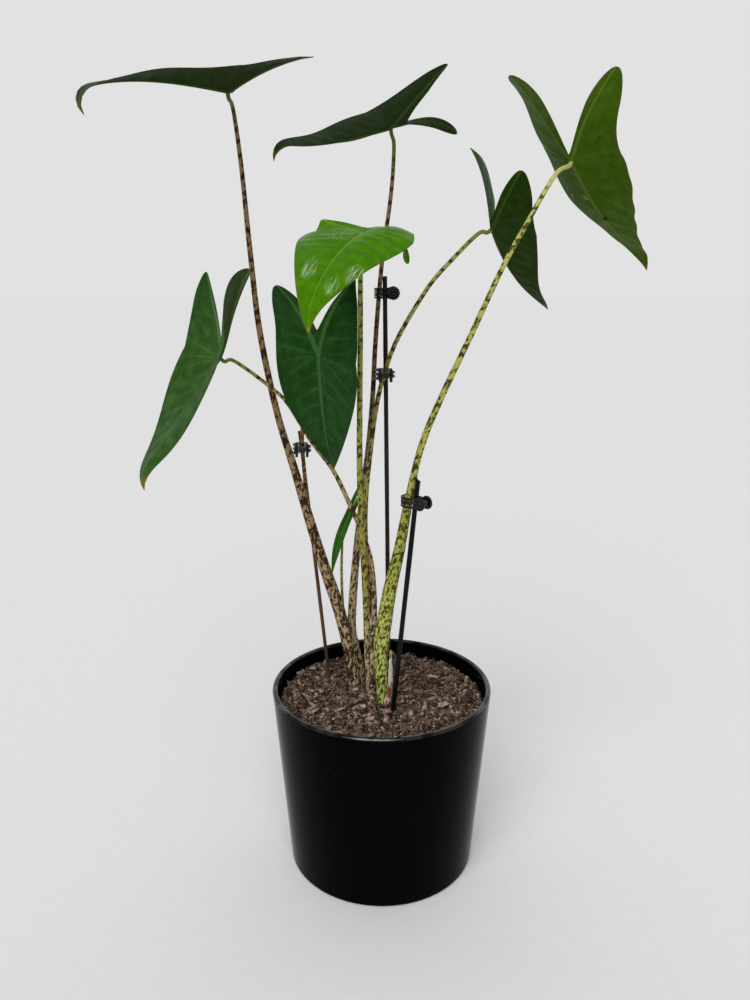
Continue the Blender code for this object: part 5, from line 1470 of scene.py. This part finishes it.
plastic = Finish("clip_plastic", seen(8, 8, 8), 0.24, Specular_IOR_Level=0.28)
scuff = plastic.noise(plastic.place(), 400.0, 4.0)
plastic.colour(plastic.mix(plastic.ease(scuff, 0.55, 0.75), seen(7, 7, 7), seen(30, 28, 27)))
plastic.gloss(plastic.ease(scuff, 0.35, 0.75, 0.16, 0.4))
plastic.relief((scuff, 0.05, 0.3))
wire = Finish("spring_wire", (0.5, 0.5, 0.52), 0.3, Metallic=1.0)
tarnish = wire.noise(wire.place(), 900.0, 3.0)
wire.colour(wire.mix(wire.ease(tarnish, 0.4, 0.7), (0.12, 0.12, 0.125), (0.05, 0.045, 0.04)))
wire.gloss(wire.ease(tarnish, 0.4, 0.7, 0.25, 0.55))
wire.relief((tarnish, 0.05, 0.3))


def grip_disc(middle, out_axis, up_axis, side_axis):
    """Points and faces of a fluted grip with softened edges, a dished face and a raised button."""
    face = DISC_THICKNESS / 2
    steps = DISC_FLUTES * FLUTE_STEPS
    profile = [             # distance along the axis, radius, share of the flutes' depth
        (-face, 0.0, 0), (-face, DISC_RADIUS - 1.0, 0),
        (-face, DISC_RADIUS - 0.35, 1), (-face + 0.3, DISC_RADIUS, 1),
        (face - 0.3, DISC_RADIUS, 1), (face, DISC_RADIUS - 0.35, 1),
        (face, DISC_RADIUS - 1.0, 0), (face - 0.25, DISC_RADIUS - 1.5, 0),
        (face - 0.3, BUTTON_RADIUS + 0.5, 0), (face, BUTTON_RADIUS, 0),
        (face + 0.8, BUTTON_RADIUS - 0.25, 0), (face + 1.0, BUTTON_RADIUS - 0.7, 0),
        (face + 1.0, 0.0, 0),
    ]
    spots = []
    for offset, radius, fluted in profile:
        for k in range(steps):
            a = 2 * math.pi * k / steps
            wave = 0.5 - 0.5 * math.cos(DISC_FLUTES * a)
            r = max(radius - FLUTE_DEPTH * wave**1.5 * fluted, 0.01)
            spots.append(middle + out_axis * offset + (up_axis * math.sin(a) + side_axis * math.cos(a)) * r)
    return spots, ring_faces(len(profile), steps)


def add_part(into, part):
    """Adds one closed part's points and faces to a piece in the making."""
    start = len(into[0])
    into[0].extend(part[0])
    into[1].extend(tuple(i + start for i in face) for face in part[1])


def tine(disc_middle, middle, toward, out, reach, lift):
    """Points and faces of one tine, from inside its disc and round the stem and the stake to its tip."""
    path = [disc_middle + toward * TINE_ROOT_AT + UP * lift]
    for k in range(TINE_STEPS + 1):
        angle = math.radians(TINE_START + (TINE_END - TINE_START) * k / TINE_STEPS)
        path.append(middle + (toward * math.cos(angle) + out * math.sin(angle)) * reach + UP * lift)
    root, bend = (TINE_RADIUS * share for share in TINE_ROOT_RADII)
    radii = [root, *np.linspace(bend, TINE_END_RADIUS, TINE_STEPS + 1)]
    return tube_mesh(path, radii, TINE_SIDES, rounded=True)[:2]


def coil(middle, along_axis, toward):
    """Points and faces of a spring wound about an axis, between the discs' inner faces."""
    half_length = JAW_SPREAD - DISC_THICKNESS / 2 - SPRING_WIRE
    count = SPRING_TURNS * SPRING_STEPS
    path = []
    for k in range(count + 1):
        share = k / count
        a = 2 * math.pi * SPRING_TURNS * share
        around = (UP * math.sin(a) + toward * math.cos(a)) * SPRING_RADIUS
        path.append(middle + along_axis * (2 * share - 1) * half_length + around)
    return tube_mesh(path, [SPRING_WIRE] * len(path), SPRING_SIDES, rounded=True)[:2]


for clip_name, (held_stem, held_stake, height, grip_side) in CLIPS.items():
    *stem_at, stem_radius = at_height(stem_rows(held_stem), height)
    stake_top, stake_foot, stake_radius = STAKES[held_stake]
    stem_at, stake_at = np.array(stem_at), at_height(np.array([stake_foot, stake_top]), height)
    middle = (stem_at + stake_at) / 2
    thickest = max(stem_radius, stake_radius)
    reach = np.linalg.norm(stem_at - stake_at) / 2 + thickest + TINE_RADIUS + 2 * TINE_GAP
    toward = -np.array([math.cos(math.radians(grip_side)), math.sin(math.radians(grip_side)), 0.0])
    grips_at = middle - toward * (reach + DISC_STANDS_OFF)
    for jaw, side in (("front", 1.0), ("back", -1.0)):
        out = np.cross(UP, toward) * side
        disc_middle = grips_at + out * JAW_SPREAD
        moulding = ([], [])
        disc = grip_disc(disc_middle, out, UP, toward)
        # The front jaw's disc points the other way, so its faces turn round.
        add_part(moulding, (disc[0], [face[::-1] for face in disc[1]]) if side > 0 else disc)
        lifts = (-TINE_SPACING, 0.0, TINE_SPACING) if side > 0 else (-TINE_SPACING / 2, TINE_SPACING / 2)
        for lift in lifts:
            add_part(moulding, tine(disc_middle, middle, toward, out, reach, lift))
        shown = piece(f"{clip_name}_{jaw}_moulding", *moulding, plastic, weld=0.001)
        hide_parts(f"{clip_name}_{jaw}_jaw")
    shown = piece(clip_name + "_coil", *coil(grips_at, np.cross(UP, toward), toward), wire)
    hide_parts(clip_name + "_spring")
